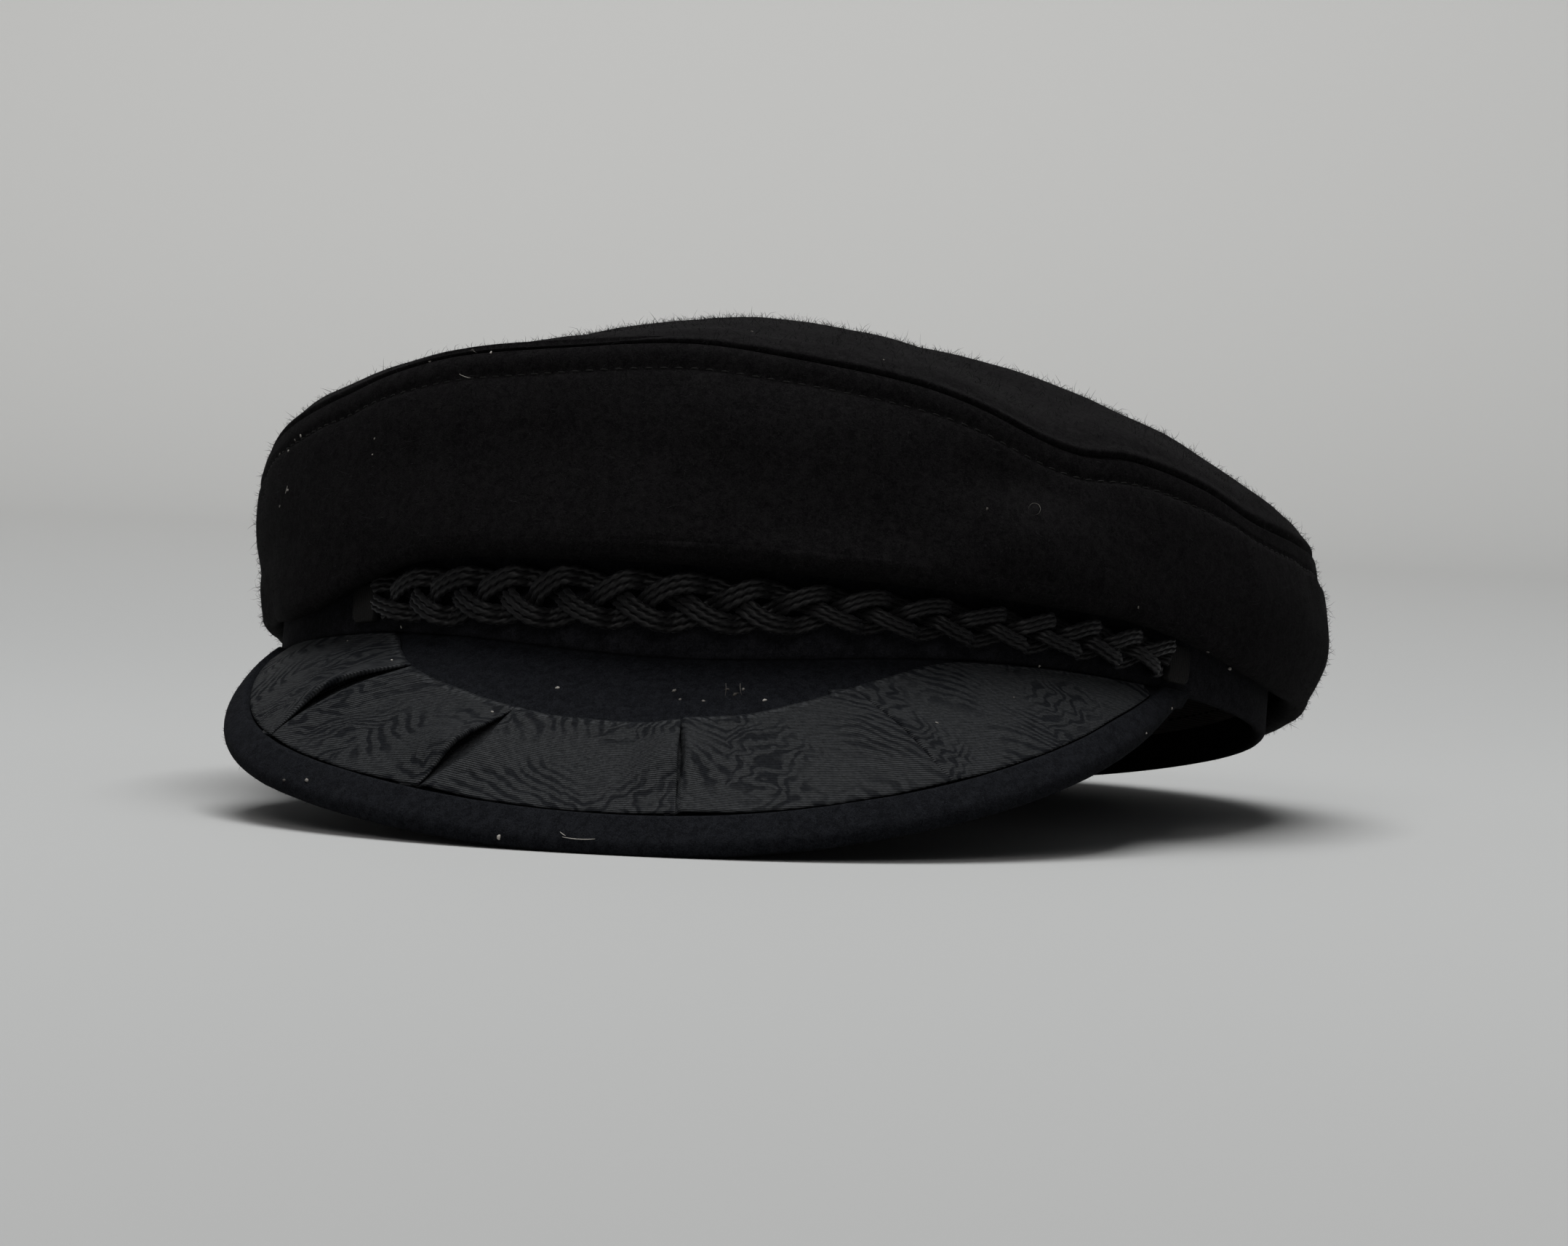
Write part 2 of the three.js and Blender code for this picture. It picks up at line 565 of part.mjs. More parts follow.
const bandBody = ringBand(0, band.wall, 0, band.top);
const liningBody = ringBand(
  -band.wall - GAP, sweatband.wall, sweatband.lowEdge, sweatband.top,
);
const rimBody = peakRim();
const pieces = [
  ['crown_tip', crownTip(), finishes.crown],
  ['crown_side', crownSide(), finishes.crown],
  ['headband', bandBody, finishes.band],
  ['sweatband', liningBody, finishes.sweat],
  ['peak_board', peakBoard(), finishes.peak],
  ['peak_rim', rimBody, finishes.peak],
  ['peak_ribbon', peakRibbon(), finishes.ribbon],
  ['braid_strand_1', braidStrand(0), finishes.cord],
  ['braid_strand_2', braidStrand(1), finishes.cord],
  ['braid_strand_3', braidStrand(2), finishes.cord],
  ['braid_end_right', braidEnd(braid.from, -1), finishes.cord],
  ['braid_end_left', braidEnd(braid.to, 1), finishes.cord],
];

// The lowest height of a geometry once the cap is tipped back by an angle.
function lowest(geometry, angle) {
  const place = geometry.getAttribute('position');
  let low = Infinity;
  for (let i = 0; i < place.count; i += 1) {
    low = Math.min(low, place.getZ(i) * Math.cos(angle) - place.getY(i) * Math.sin(angle));
  }
  return low;
}

// The angle at which the peak's rim and the back of the headband touch the table together.
function restingTilt() {
  let [small, large] = [0, radians(25)];
  for (let i = 0; i < 40; i += 1) {
    const angle = (small + large) / 2;
    const rimIsLower = lowest(rimBody, angle) < lowest(bandBody, angle);
    [small, large] = rimIsLower ? [angle, large] : [small, angle];
  }
  return (small + large) / 2;
}

// Presses what stands within a little of the table flat onto it, as the cap's weight does.
function pressFlat(geometry, angle, floor) {
  const place = geometry.getAttribute('position');
  const up = new THREE.Vector3(0, -Math.sin(angle), Math.cos(angle));
  const point = new THREE.Vector3();
  for (let i = 0; i < place.count; i += 1) {
    point.fromBufferAttribute(place, i);
    const height = point.dot(up) - floor;
    if (height < settle) {
      point.addScaledVector(up, -height);
      place.setXYZ(i, point.x, point.y, point.z);
    }
  }
}

const tilt = restingTilt();
const floor = lowest(bandBody, tilt) + settle / 2;
pressFlat(bandBody, tilt, floor);
pressFlat(rimBody, tilt, floor);

const cap = new THREE.Group();
for (const [name, geometry, material] of pieces) {
  const mesh = new THREE.Mesh(geometry, material);
  mesh.name = name;
  cap.add(mesh);
}
cap.rotation.x = -tilt;

const part = new THREE.Group();
part.add(cap);
part.updateMatrixWorld(true);
const box = new THREE.Box3().setFromObject(part, true);
const centre = box.getCenter(new THREE.Vector3());
cap.position.set(-centre.x, -centre.y, -box.min.z);
part.updateMatrixWorld(true);

export default part;
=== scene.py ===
import math

import bmesh
import bpy
import numpy as np
from mathutils import Matrix, Vector, noise
from mathutils.bvhtree import BVHTree


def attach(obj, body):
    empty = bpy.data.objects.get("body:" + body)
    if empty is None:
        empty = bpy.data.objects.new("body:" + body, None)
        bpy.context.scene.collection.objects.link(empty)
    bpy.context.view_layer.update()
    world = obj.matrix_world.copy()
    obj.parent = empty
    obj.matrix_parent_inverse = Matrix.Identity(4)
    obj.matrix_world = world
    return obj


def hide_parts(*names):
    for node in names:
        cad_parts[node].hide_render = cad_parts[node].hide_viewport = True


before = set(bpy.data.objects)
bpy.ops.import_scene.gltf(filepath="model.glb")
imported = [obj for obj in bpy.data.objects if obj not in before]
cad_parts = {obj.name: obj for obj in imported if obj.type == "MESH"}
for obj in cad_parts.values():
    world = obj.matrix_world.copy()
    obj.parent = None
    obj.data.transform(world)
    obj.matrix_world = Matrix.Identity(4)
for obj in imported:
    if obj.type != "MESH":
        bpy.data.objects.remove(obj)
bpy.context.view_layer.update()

# Headband: a strip of buckram covered outside in black milled wool, its lower edge turned in as a
# narrow hem, to which every other piece is sewn. The cap is drawn in millimetres round its middle,
# the peak towards -Y, and then stands tipped back on the rim of its peak and the back of the band.
BAND = dict(half_width=91.0, front=99.3, rear=99.3, x=-0.5, y=0.0)
BAND_WALL = 2.4
BAND_TOP = 33.0
GAP = 0.3
TIPPED_BACK = math.radians(10.005)
BAND_STANDS_AT = np.array([-0.242, 9.869, 17.639])
WOOL_BLACK = (0.0021, 0.0019, 0.0021, 1)
WOOL_GREY = (0.0108, 0.0103, 0.0105, 1)


def to_metres(points):
    """Points of the cap's own frame, in millimetres, where they stand on the table, in metres."""
    x, y, z = np.moveaxis(np.asarray(points, float), -1, 0)
    c, s = math.cos(TIPPED_BACK), math.sin(TIPPED_BACK)
    return (np.stack([x, c * y + s * z, c * z - s * y], -1) + BAND_STANDS_AT) / 1000


def table(names, *rows):
    """A table as a dictionary of its named columns."""
    return dict(zip(names.split(), np.array(rows, float).T))


def eased(rows, name, closed=False):
    """A column of a table at any azimuth in degrees, eased between rows; closed, it runs round."""
    places, values = rows["azimuth"], rows[name]
    if closed:
        places = np.concatenate([places - 360, places, places + 360])
        values = np.tile(values, 3)
    slopes = np.zeros(len(values))
    slopes[1:-1] = (values[2:] - values[:-2]) / (places[2:] - places[:-2])

    def at(azimuth):
        i = np.clip(np.searchsorted(places, azimuth) - 1, 0, len(places) - 2)
        wide = places[i + 1] - places[i]
        t = (azimuth - places[i]) / wide
        from_left = (1 + 2 * t) * (1 - t) ** 2 * values[i] + t * (1 - t) ** 2 * wide * slopes[i]
        from_right = t**2 * (3 - 2 * t) * values[i + 1] + t**2 * (t - 1) * wide * slopes[i + 1]
        return from_left + from_right

    return at


def unit(vectors):
    """Vectors brought to length 1."""
    return vectors / np.linalg.norm(vectors, axis=-1, keepdims=True)


def hump(x, middle, spread):
    """A smooth hump of height 1 about a middle."""
    return np.exp(-(((x - middle) / spread) ** 2))


def ease(share):
    """A share eased at both ends; what lies outside 0 to 1 is brought there."""
    share = np.clip(share, 0, 1)
    return share**2 * (3 - 2 * share)


def on_oval(oval, azimuth):
    """Points of an oval at compass angles from its middle, and the oval's outward normals there."""
    angle = np.radians(azimuth)
    depth = np.where(np.cos(angle) > 0, oval["front"], oval["rear"])
    radius = 1 / np.hypot(np.sin(angle) / oval["half_width"], np.cos(angle) / depth)
    x, y = radius * np.sin(angle), -radius * np.cos(angle)
    normal = unit(np.stack([x / oval["half_width"] ** 2, y / depth**2], -1))
    return np.stack([oval["x"] + x, oval["y"] + y], -1), normal


def off_band(azimuth, out, height):
    """Points by their distance out from the headband's outer face and their height."""
    azimuth, out, height = np.broadcast_arrays(azimuth, out, height)
    point, normal = on_oval(BAND, azimuth)
    return np.concatenate([point + normal * out[..., None], height[..., None]], -1)


def band_edge(azimuth):
    """The height of the headband's lower edge, which dips at the front and the back."""
    return 1.2 - 5.0 * hump(azimuth, 2, 24) - 2.0 * hump(np.abs(azimuth), 180, 35)


def distance_along(line):
    """The distance along a line of points, from its first."""
    steps = np.linalg.norm(np.diff(line, axis=0), axis=1)
    return np.concatenate([[0], np.cumsum(steps)])


def swells(points, size, seed):
    """The smooth unevenness of cloth, from -1 to 1, in swells about size millimetres across."""
    flat = np.asarray(points, float).reshape(-1, 3) / size + seed
    return np.array([noise.noise(p) for p in flat.tolist()]).reshape(np.shape(points)[:-1])


def patches(rows, columns, rows_meet=False, columns_meet=True):
    """The four-sided faces of a net of points, whose rows or columns may meet round the back."""
    r = np.arange(rows if rows_meet else rows - 1)[:, None]
    c = np.arange(columns if columns_meet else columns - 1)[None, :]
    r_next, c_next = (r + 1) % rows, (c + 1) % columns
    here, after = r * columns, r_next * columns
    corners = np.broadcast_arrays(here + c, after + c, after + c_next, here + c_next)
    return np.stack([corner.reshape(-1) for corner in corners], -1)


def piece_on_cap(name, mesh, material, node=None):
    """A mesh as a piece that rides on the cap, in place of a plain solid where node names one."""
    mesh.materials.append(material)
    piece = bpy.data.objects.new(name, mesh)
    bpy.context.scene.collection.objects.link(piece)
    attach(piece, "root")
    if node:
        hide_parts(node)
    return piece


def solid_piece(name, points, faces, material, slot, node=None, cloth=None):
    """A closed piece of the cap, which may carry each point's place on its own flat cloth."""
    mesh = bpy.data.meshes.new(name)
    mesh.from_pydata(to_metres(points).tolist(), [], [list(face) for face in faces])
    if cloth is not None:
        laid = mesh.attributes.new("cloth", "FLOAT_VECTOR", "POINT")
        laid.data.foreach_set("vector", np.asarray(cloth, np.float32).ravel())
    check = bmesh.new()
    check.from_mesh(mesh)
    if check.calc_volume(signed=True) < 0:
        mesh.flip_normals()
    check.free()
    mesh.shade_smooth()
    return piece_on_cap(name, mesh, material, node)


def lofted(rings, rings_meet):
    """The points and faces of a closed body through rings of points, capped if they don't meet."""
    count, size = rings.shape[:2]
    faces = patches(count, size, rings_meet).tolist()
    if not rings_meet:
        faces += [list(range(size)), list(range(count * size - 1, (count - 1) * size - 1, -1))]
    return rings.reshape(-1, 3), faces


def ring_band(outer_face, wall, low_edge, top, columns, uneven):
    """A band round the head, its edges rounded over, as rings of points."""
    azimuth = np.linspace(-180, 180, columns, endpoint=False)[:, None]
    low = band_edge(azimuth) + low_edge
    turn = np.linspace(0, math.pi, 7)
    half = wall / 2
    out = outer_face - half + half * np.cos(turn)
    bulge = half * np.sin(turn)
    rise = np.linspace(0, 1, 15)[1:-1]
    bottom = off_band(azimuth, out[::-1], low + half - bulge)
    up = off_band(azimuth, outer_face, low + half + (top - low - wall) * rise)
    over = off_band(azimuth, out, top - half + bulge)
    down = off_band(azimuth, outer_face - wall, low + half + (top - low - wall) * rise[::-1])
    rings = np.concatenate([bottom, up, over, down], 1)
    _, normal = on_oval(BAND, np.broadcast_to(azimuth, rings.shape[:2]))
    shift = swells(rings, 14, 3.1) * uneven + swells(rings, 4.5, 7.7) * uneven * 0.4
    rings[..., :2] += normal * shift[..., None]
    return rings


def plug(node, inputs):
    """Set a shader node's inputs, by name or number, to values or to what other nodes give."""
    for key, value in inputs.items():
        if isinstance(value, bpy.types.NodeSocket):
            node.id_data.links.new(value, node.inputs[key])
        else:
            node.inputs[key].default_value = value


def noder(tree):
    """A function that adds a node to a tree, with its settings and its inputs."""

    def add(kind, inputs=None, **settings):
        node = tree.nodes.new(kind)
        for key, value in settings.items():
            setattr(node, key, value)
        plug(node, inputs or {})
        return node

    return add


def own_place(add):
    """Places in the piece's own coordinates."""
    return add("ShaderNodeTexCoord").outputs["Object"]


def noisy(add, vector, scale, detail=2, **more):
    """Soft noise over a vector."""
    inputs = {"Vector": vector, "Scale": scale, "Detail": detail, **more}
    return add("ShaderNodeTexNoise", inputs).outputs[0]


def sums(add, operation, a, b=0.0, c=0.0):
    """One step of arithmetic between sockets and numbers."""
    return add("ShaderNodeMath", {0: a, 1: b, 2: c}, operation=operation).outputs[0]


def between(add, value, low, high, to_low=0.0, to_high=1.0):
    """A value eased from one range to another."""
    ranges = {"From Min": low, "From Max": high, "To Min": to_low, "To Max": to_high}
    inputs = {"Value": value, **ranges}
    return add("ShaderNodeMapRange", inputs, interpolation_type="SMOOTHSTEP").outputs[0]


def blended(add, share, a, b):
    """Two colours mixed by a share."""
    return add("ShaderNodeMix", {0: share, 6: a, 7: b}, data_type="RGBA").outputs[2]


def bumped(add, height, strength, distance):
    """The normals of a surface with small heights on it."""
    inputs = {"Strength": strength, "Distance": distance, "Height": height}
    return add("ShaderNodeBump", inputs).outputs[0]


# The milled surface of every wool piece: matted fine fibres, a faint cloudiness where the nap lies
# one way or the other, and a lighter grey on the raised fibres, where the bump stands highest.
milled = bpy.data.node_groups.new("milled_wool", "ShaderNodeTree")
for label, kind, value in (
    ("Dark", "NodeSocketColor", WOOL_BLACK), ("Light", "NodeSocketColor", WOOL_GREY),
    ("Cloud", "NodeSocketFloat", 1.0),
):
    socket = milled.interface.new_socket(label, in_out="INPUT", socket_type=kind)
    socket.default_value = value
for label, kind in (
    ("Colour", "NodeSocketColor"), ("Roughness", "NodeSocketFloat"), ("Normal", "NodeSocketVector"),
):
    milled.interface.new_socket(label, in_out="OUTPUT", socket_type=kind)

add = noder(milled)
given = add("NodeGroupInput").outputs
where = own_place(add)
hairs = noisy(add, where, 2600, 3, Distortion=1.8)
tufts = noisy(add, where, 620, 4, Distortion=0.8)
lie = noisy(add, where, 75, 3)
matted = sums(add, "MULTIPLY_ADD", hairs, 0.68, sums(add, "MULTIPLY", tufts, 0.32))
cloud = sums(add, "MULTIPLY", between(add, lie, 0.3, 0.7, -0.045, 0.045), given["Cloud"])
share = sums(add, "MULTIPLY_ADD", between(add, matted, 0.36, 0.66), 0.75, cloud)
add("NodeGroupOutput", {
    "Colour": blended(add, share, given["Dark"], given["Light"]),
    "Roughness": between(add, matted, 0.3, 0.7, 0.98, 0.86),
    "Normal": bumped(add, matted, 0.75, 0.00032),
})


def cloth_material(name):
    """A new cloth material, with its shader and a function that adds nodes to it."""
    material = bpy.data.materials.new(name)
    material.use_nodes = True
    shader = material.node_tree.nodes["Principled BSDF"]
    plug(shader, {"Specular IOR Level": 0.03})
    return material, shader, noder(material.node_tree)


def wool_material(name, dark, light, cloud=1.0):
    """Milled wool in its own pair of colours."""
    material, shader, add = cloth_material(name)
    wool = add("ShaderNodeGroup", node_tree=milled)
    plug(wool, {"Dark": dark, "Light": light, "Cloud": cloud})
    given = wool.outputs
    plug(shader, {
        "Base Color": given["Colour"], "Roughness": given["Roughness"], "Normal": given["Normal"],
    })
    return material


band_wool = wool_material("band_wool", (0.0036, 0.0037, 0.0044, 1), (0.0165, 0.0165, 0.0190, 1))
points, faces = lofted(ring_band(0.0, BAND_WALL, 0.0, BAND_TOP, 400, 0.1), True)
headband = solid_piece("headband_wool", points, faces, band_wool, "band_wool", node="headband")

# Sweatband: a plain black cloth strip folded over a tape, sewn to the inside of the headband with
# one row of machine stitches a little above its lower edge.
SWEAT_WALL = 1.2
SWEAT_LOW = 6.5
SWEAT_TOP = 31.0
SWEAT_SEWN_UP = 2.2
STITCH_DIP = 0.3

sweat_cloth, shader, add = cloth_material("sweatband_cloth")
where = own_place(add)
woven = {"Vector": where, "Scale": 700, "Distortion": 2.5, "Detail": 2}
weave = add("ShaderNodeTexWave", woven, bands_direction="Z").outputs[1]
worn = noisy(add, where, 45, 4)
tone = sums(add, "MULTIPLY_ADD", weave, 0.35, sums(add, "MULTIPLY", worn, 0.65))
# Both cloth colours are far lighter than the black of the real strip: painted light, standing in
# for the light that reaches the inside of the band.
plug(shader, {
    "Base Color": blended(add, tone, (0.032, 0.028, 0.026, 1), (0.098, 0.087, 0.082, 1)),
    "Roughness": between(add, worn, 0.3, 0.7, 0.5, 0.72),
    "Normal": bumped(add, weave, 0.5, 0.0002),
    "Sheen Weight": 0.03, "Sheen Roughness": 0.45, "Sheen Tint": (0.8, 0.8, 0.8, 1),
})

inside = -BAND_WALL - GAP
points, faces = lofted(ring_band(inside, SWEAT_WALL, SWEAT_LOW, SWEAT_TOP, 320, 0.12), True)
solid_piece("sweatband_cloth", points, faces, sweat_cloth, "sweatband_cloth", node="sweatband")

thread_black, shader, add = cloth_material("sewing_thread")
plied = noisy(add, own_place(add), 3500)
tone = blended(add, plied, (0.0045, 0.0044, 0.0044, 1), (0.0210, 0.0204, 0.0196, 1))
plug(shader, {"Base Color": tone, "Roughness": 0.5})


def tube(centre, side, over, radius, corners):
    """A closed thread along a line of points, round in the plane of two directions at each."""
    turn = np.arange(corners) * 2 * math.pi / corners
    ring = np.cos(turn)[:, None] * side[:, None] + np.sin(turn)[:, None] * over[:, None]
    return lofted(centre[:, None] + ring * np.reshape(radius, (len(centre), -1, 1)), False)


def joined(bodies):
    """Several closed bodies as the points and faces of one mesh."""
    points, faces, start = [], [], 0
    for own_points, own_faces in bodies:
        points.append(own_points)
        faces += [[corner + start for corner in face] for face in own_faces]
        start += len(own_points)
    return np.concatenate(points), faces


def laid_stitches(name, path, normals, pitch, length, thick):
    """A row of sewing, each stitch a short thread that dips into the cloth at both ends."""
    walked = distance_along(path)
    count = int(walked[-1] / pitch)
    offsets = np.linspace(-length / 2, length / 2, 7)
    at = (np.arange(count)[:, None] + 0.5) * walked[-1] / count + offsets
    at = at.clip(0, walked[-1])
    centre, up = (
        np.stack([np.interp(at, walked, line[:, i]) for i in range(3)], -1)
        for line in (path, normals)
    )
    up = unit(up)
    side = np.cross(unit(np.gradient(centre, axis=1)), up)
    bend = 1 - (offsets / (length / 2)) ** 4
    radius = thick / 2 * (0.35 + 0.65 * bend)
    centre = centre + up * (thick * 0.25 - STITCH_DIP * (1 - bend))[:, None]
    threads = [tube(*line, radius, 6) for line in zip(centre, side, up)]
    solid_piece(name, *joined(threads), thread_black, "cord")


round_band = np.linspace(-180, 180, 361)
_, outward = on_oval(BAND, round_band)
inward = np.concatenate([-outward, np.zeros((len(round_band), 1))], 1)
height = band_edge(round_band) + SWEAT_LOW + SWEAT_SEWN_UP
sewn = off_band(round_band, inside - SWEAT_WALL, height)
laid_stitches("sweatband_stitches", sewn, inward, 3.0, 2.3, 0.42)

# Peak board: a stiff half-moon of board sloping down and forward from the band, covered in the same
# wool above and below. Above, the wool shows as a dark crescent between the band and the ribbon.
PEAK = dict(end=64.0, depth=49.1, tail=1.2, taper=2.55, flare=1.41, slope=47.3, slope_loss=9.3)
PEAK_FORWARD = 0.27
PEAK_CAMBER = 1.5
PEAK_FULLNESS = dict(azimuth=-44.0, spread=20.0, depth=4.4)
BOARD_THICK = 2.2
RIM_WIDTH = 7.8
RIM_TAIL_SIDE = 0.4
RIBBON_END = 55.5


def under_band(azimuth):
    """Where the peak's sewn edge reaches under the band's rounded hem and shuts out the light."""
    return off_band(azimuth, -0.6, band_edge(azimuth) + 0.35)


def peak_depth(azimuth):
    """How far the peak reaches from the band at each azimuth."""
    share = np.minimum(np.abs(azimuth) / PEAK["end"], 1)
    away = (azimuth - PEAK_FULLNESS["azimuth"]) / PEAK_FULLNESS["spread"]
    fuller = PEAK_FULLNESS["depth"] * np.exp(-(away**2)) * (1 - share**8)
    return PEAK["depth"] * (1 - share ** PEAK["taper"]) ** PEAK["flare"] + fuller + PEAK["tail"]


def on_peak(azimuth, down, lift):
    """Points on the peak by the distance down from the band and the lift off the board's top."""
    azimuth, down, lift = np.broadcast_arrays(azimuth, down, lift)
    start = off_band(azimuth, 0.0, band_edge(azimuth))
    _, normal = on_oval(BAND, azimuth)
    heading = unit(normal * (1 - PEAK_FORWARD) + np.array([0, -1]) * PEAK_FORWARD)
    share = np.abs(azimuth) / PEAK["end"]
    slope = np.radians(PEAK["slope"] - PEAK["slope_loss"] * share**2)
    depth = peak_depth(azimuth)
    part = down / depth
    rise = lift + PEAK_CAMBER * 4 * part * (1 - part) * np.minimum(depth / PEAK["depth"], 1)
    out = down * np.cos(slope) + rise * np.sin(slope)
    height = rise * np.cos(slope) - down * np.sin(slope)
    place = start[..., :2] + heading * out[..., None]
    return np.concatenate([place, (start[..., 2] + height)[..., None]], -1)


def rim_inside(azimuth):
    """Where the rim's inner edge lies; the rim narrows towards the ends of the peak."""
    narrowing = 0.25 * ease((np.abs(azimuth) - 45) / 13)
    return np.maximum(peak_depth(azimuth) - RIM_WIDTH * (1 - narrowing), RIM_TAIL_SIDE)


blue_black, blue_grey = (0.0033, 0.0036, 0.0045, 1), (0.0140, 0.0150, 0.0178, 1)
peak_wool = wool_material("peak_wool", blue_black, blue_grey, cloud=0.6)
azimuth = np.linspace(-RIBBON_END + 0.5, RIBBON_END - 0.5, 200)[:, None]
inner_edge = rim_inside(azimuth) - GAP
rows = RIM_TAIL_SIDE + (inner_edge - RIM_TAIL_SIDE) * np.linspace(0, 1, 36)
top_face = on_peak(azimuth, rows, 0.0)
top_face[..., 2] += swells(top_face, 11, 1.3) * 0.1 - 0.05
under_face = on_peak(azimuth, rows[:, ::-1], -BOARD_THICK)
under_face[..., 2] += swells(under_face, 11, 2.3) * 0.1
net = np.concatenate([under_band(azimuth), top_face, under_face], 1)
points, faces = lofted(net, False)
peak_board = solid_piece(
    "peak_board_wool", points, faces, peak_wool, "peak_wool", node="peak_board"
)

# Ribbon: a black ribbed ribbon about 25 mm wide with a watered figure pressed into it. It is laid
# round the top of the board in four pleats, its inner selvedge sewn down and its outer edge caught
# under the rim. The lengthwise ribs are 0.42 mm apart.
SELVEDGE = table(
    "azimuth down",
    (-60, 0.8), (-40, 0.8), (-30.5, 1.0), (-27, 6.6), (-23.4, 11.7), (-16.2, 15.8), (-10.3, 19.2),
    (-3, 19.5), (4.4, 19.2), (7.6, 17.6), (11.6, 15.8), (17.4, 11.6), (20.8, 9.0), (24.5, 5.2),
    (29, 1.6), (36, 0.8), (60, 0.8),
)
PLEATS = table(
    "inner outer bow lift lift_at_rim width open widest lip",
    (-24.0, -34.8, -2.2, 2.8, 0.4, 8.0, 1.9, 0.42, 1.4),
    (-10.5, -15.6, 0.0, 3.1, 0.3, 8.0, 2.8, 0.56, 1.7),
    (4.6, 5.8, 0.0, 2.6, 0.4, 7.0, 0.9, 0.45, 2.1),
    (19.6, 27.8, 0.0, 1.4, 0.3, 7.0, 0.8, 0.5, 1.0),
)
FOLDED_UNDER = 3.6
RIBBON_LEAST = 0.8
RIBBON_THICK = 0.34
RIBBON_LIFT = 0.3
RIB_PITCH = 0.42


def ribbon_columns():
    """The ribbon's columns from end to end, folded back under itself at each pleat. Each holds the
    inner and outer azimuth, the bow between them, the shift along the ribbon, the two lifts, how
    far the mouth of the pleat stands open and where along it that is widest."""
    flat = RIBBON_LIFT + RIBBON_THICK / 2
    columns = []

    def add_column(edge, shift, lifts, level, mouth, widest):
        columns.append((*edge, shift, *(flat + lift * level for lift in lifts), mouth, widest))

    last, after = (-RIBBON_END, -RIBBON_END, 0.0), None
    for pleat in [*(dict(zip(PLEATS, row)) for row in zip(*PLEATS.values())), None]:
        edge = (RIBBON_END, RIBBON_END, 0.0)
        if pleat:
            edge = (pleat["inner"], pleat["outer"], pleat["bow"])
        for share in 0.5 - 0.5 * np.cos(np.linspace(0.03, 1, 64) * math.pi):
            here = [old + (new - old) * share for old, new in zip(last, edge)]
            span = math.radians(edge[0] - last[0]) * BAND["front"]
            rise, mouth, widest = 0.0, 0.0, 0.5
            if after:
                from_mouth = span * share
                mouth, widest = after["open"] * hump(from_mouth, 0, 7), after["widest"]
                rise = after["lip"] * (1 - hump(from_mouth, 0, 0.5)) * hump(from_mouth, 0, 4.5)
            rise_at_rim = rise * 0.4
            if pleat:
                near = ease(1 - span * (1 - share) / pleat["width"])
                rise += pleat["lift"] * near
                rise_at_rim += pleat["lift_at_rim"] * near
                widest += (pleat["widest"] - widest) * near
            add_column(here, 0.0, (rise, rise_at_rim), 1.0, mouth, widest)
        if not pleat:
            break
        lifts, mouth, widest = (pleat["lift"], pleat["lift_at_rim"]), pleat["open"], pleat["widest"]
        for turn in np.linspace(0, math.pi, 8)[1:-1]:
            level = 0.86 + 0.14 * math.cos(turn)
            add_column(edge, 0.35 * math.sin(turn), lifts, level, 0.0, widest)
        for back in np.linspace(0.1, 1, 6):
            add_column(edge, -FOLDED_UNDER * back, lifts, 0.72 - 0.5 * back, 0.0, widest)
        for turn in np.linspace(0, math.pi, 7)[1:-1]:
            shift = -FOLDED_UNDER - 0.2 * math.sin(turn)
            add_column(edge, shift, lifts, 0.11 + 0.11 * math.cos(turn), 0.0, widest)
        for forth in np.linspace(0, 0.9, 6):
            add_column(edge, -FOLDED_UNDER * (1 - forth), lifts, 0.0, mouth * forth, widest)
        last, after = edge, pleat
    return np.array(columns)


def net_normals(net, rows_meet=False):
    """Normals of a net of points, from its neighbours along both ways."""
    if rows_meet:
        one_way = np.roll(net, -1, 0) - np.roll(net, 1, 0)
    else:
        one_way = np.gradient(net, axis=0)
    normal = np.cross(one_way, np.gradient(net, axis=1))
    return normal / np.maximum(np.linalg.norm(normal, axis=-1, keepdims=True), 1e-9)


inner, outer, bow, shift, lift_in, lift_out, mouth, widest = ribbon_columns().T[..., None]
share = np.linspace(0, 1, 40)
selvedge = eased(SELVEDGE, "down")
low = np.minimum(selvedge(inner), rim_inside(inner) - GAP - RIBBON_LEAST)
start = np.maximum(low, RIM_TAIL_SIDE + GAP)
stop = np.maximum(rim_inside(outer) - GAP - 0.1, start + RIBBON_LEAST)
azimuth = inner + (outer - inner) * share + bow * 4 * share * (1 - share)
from_selvedge = (stop - start) * share
down = start + from_selvedge
reach = BAND["front"] + down * 0.65
stands_open = mouth * hump(share, widest, 0.3) * np.clip(share / 0.1, 0, 1)
turned = np.degrees((shift + stands_open) / reach)
fullest = hump(share, widest, np.where(share < widest, 0.36, 0.26))
middle = on_peak(azimuth + turned, down, lift_out + (lift_in - lift_out) * fullest)
walked = distance_along(middle[:, 17])
middle[..., 2] += swells(middle, 9, 5.2) * 0.12
normals = net_normals(middle)
if normals[10, 10, 2] < 0:
    normals = -normals
skins = [middle + normals * RIBBON_THICK / 2, (middle - normals * RIBBON_THICK / 2)[:, ::-1]]
points, faces = lofted(np.concatenate(skins, 1), False)
laid = np.stack(np.broadcast_arrays(walked[:, None], down, from_selvedge), -1)
cloth = np.concatenate([laid, laid[:, ::-1]], 1).reshape(-1, 3)

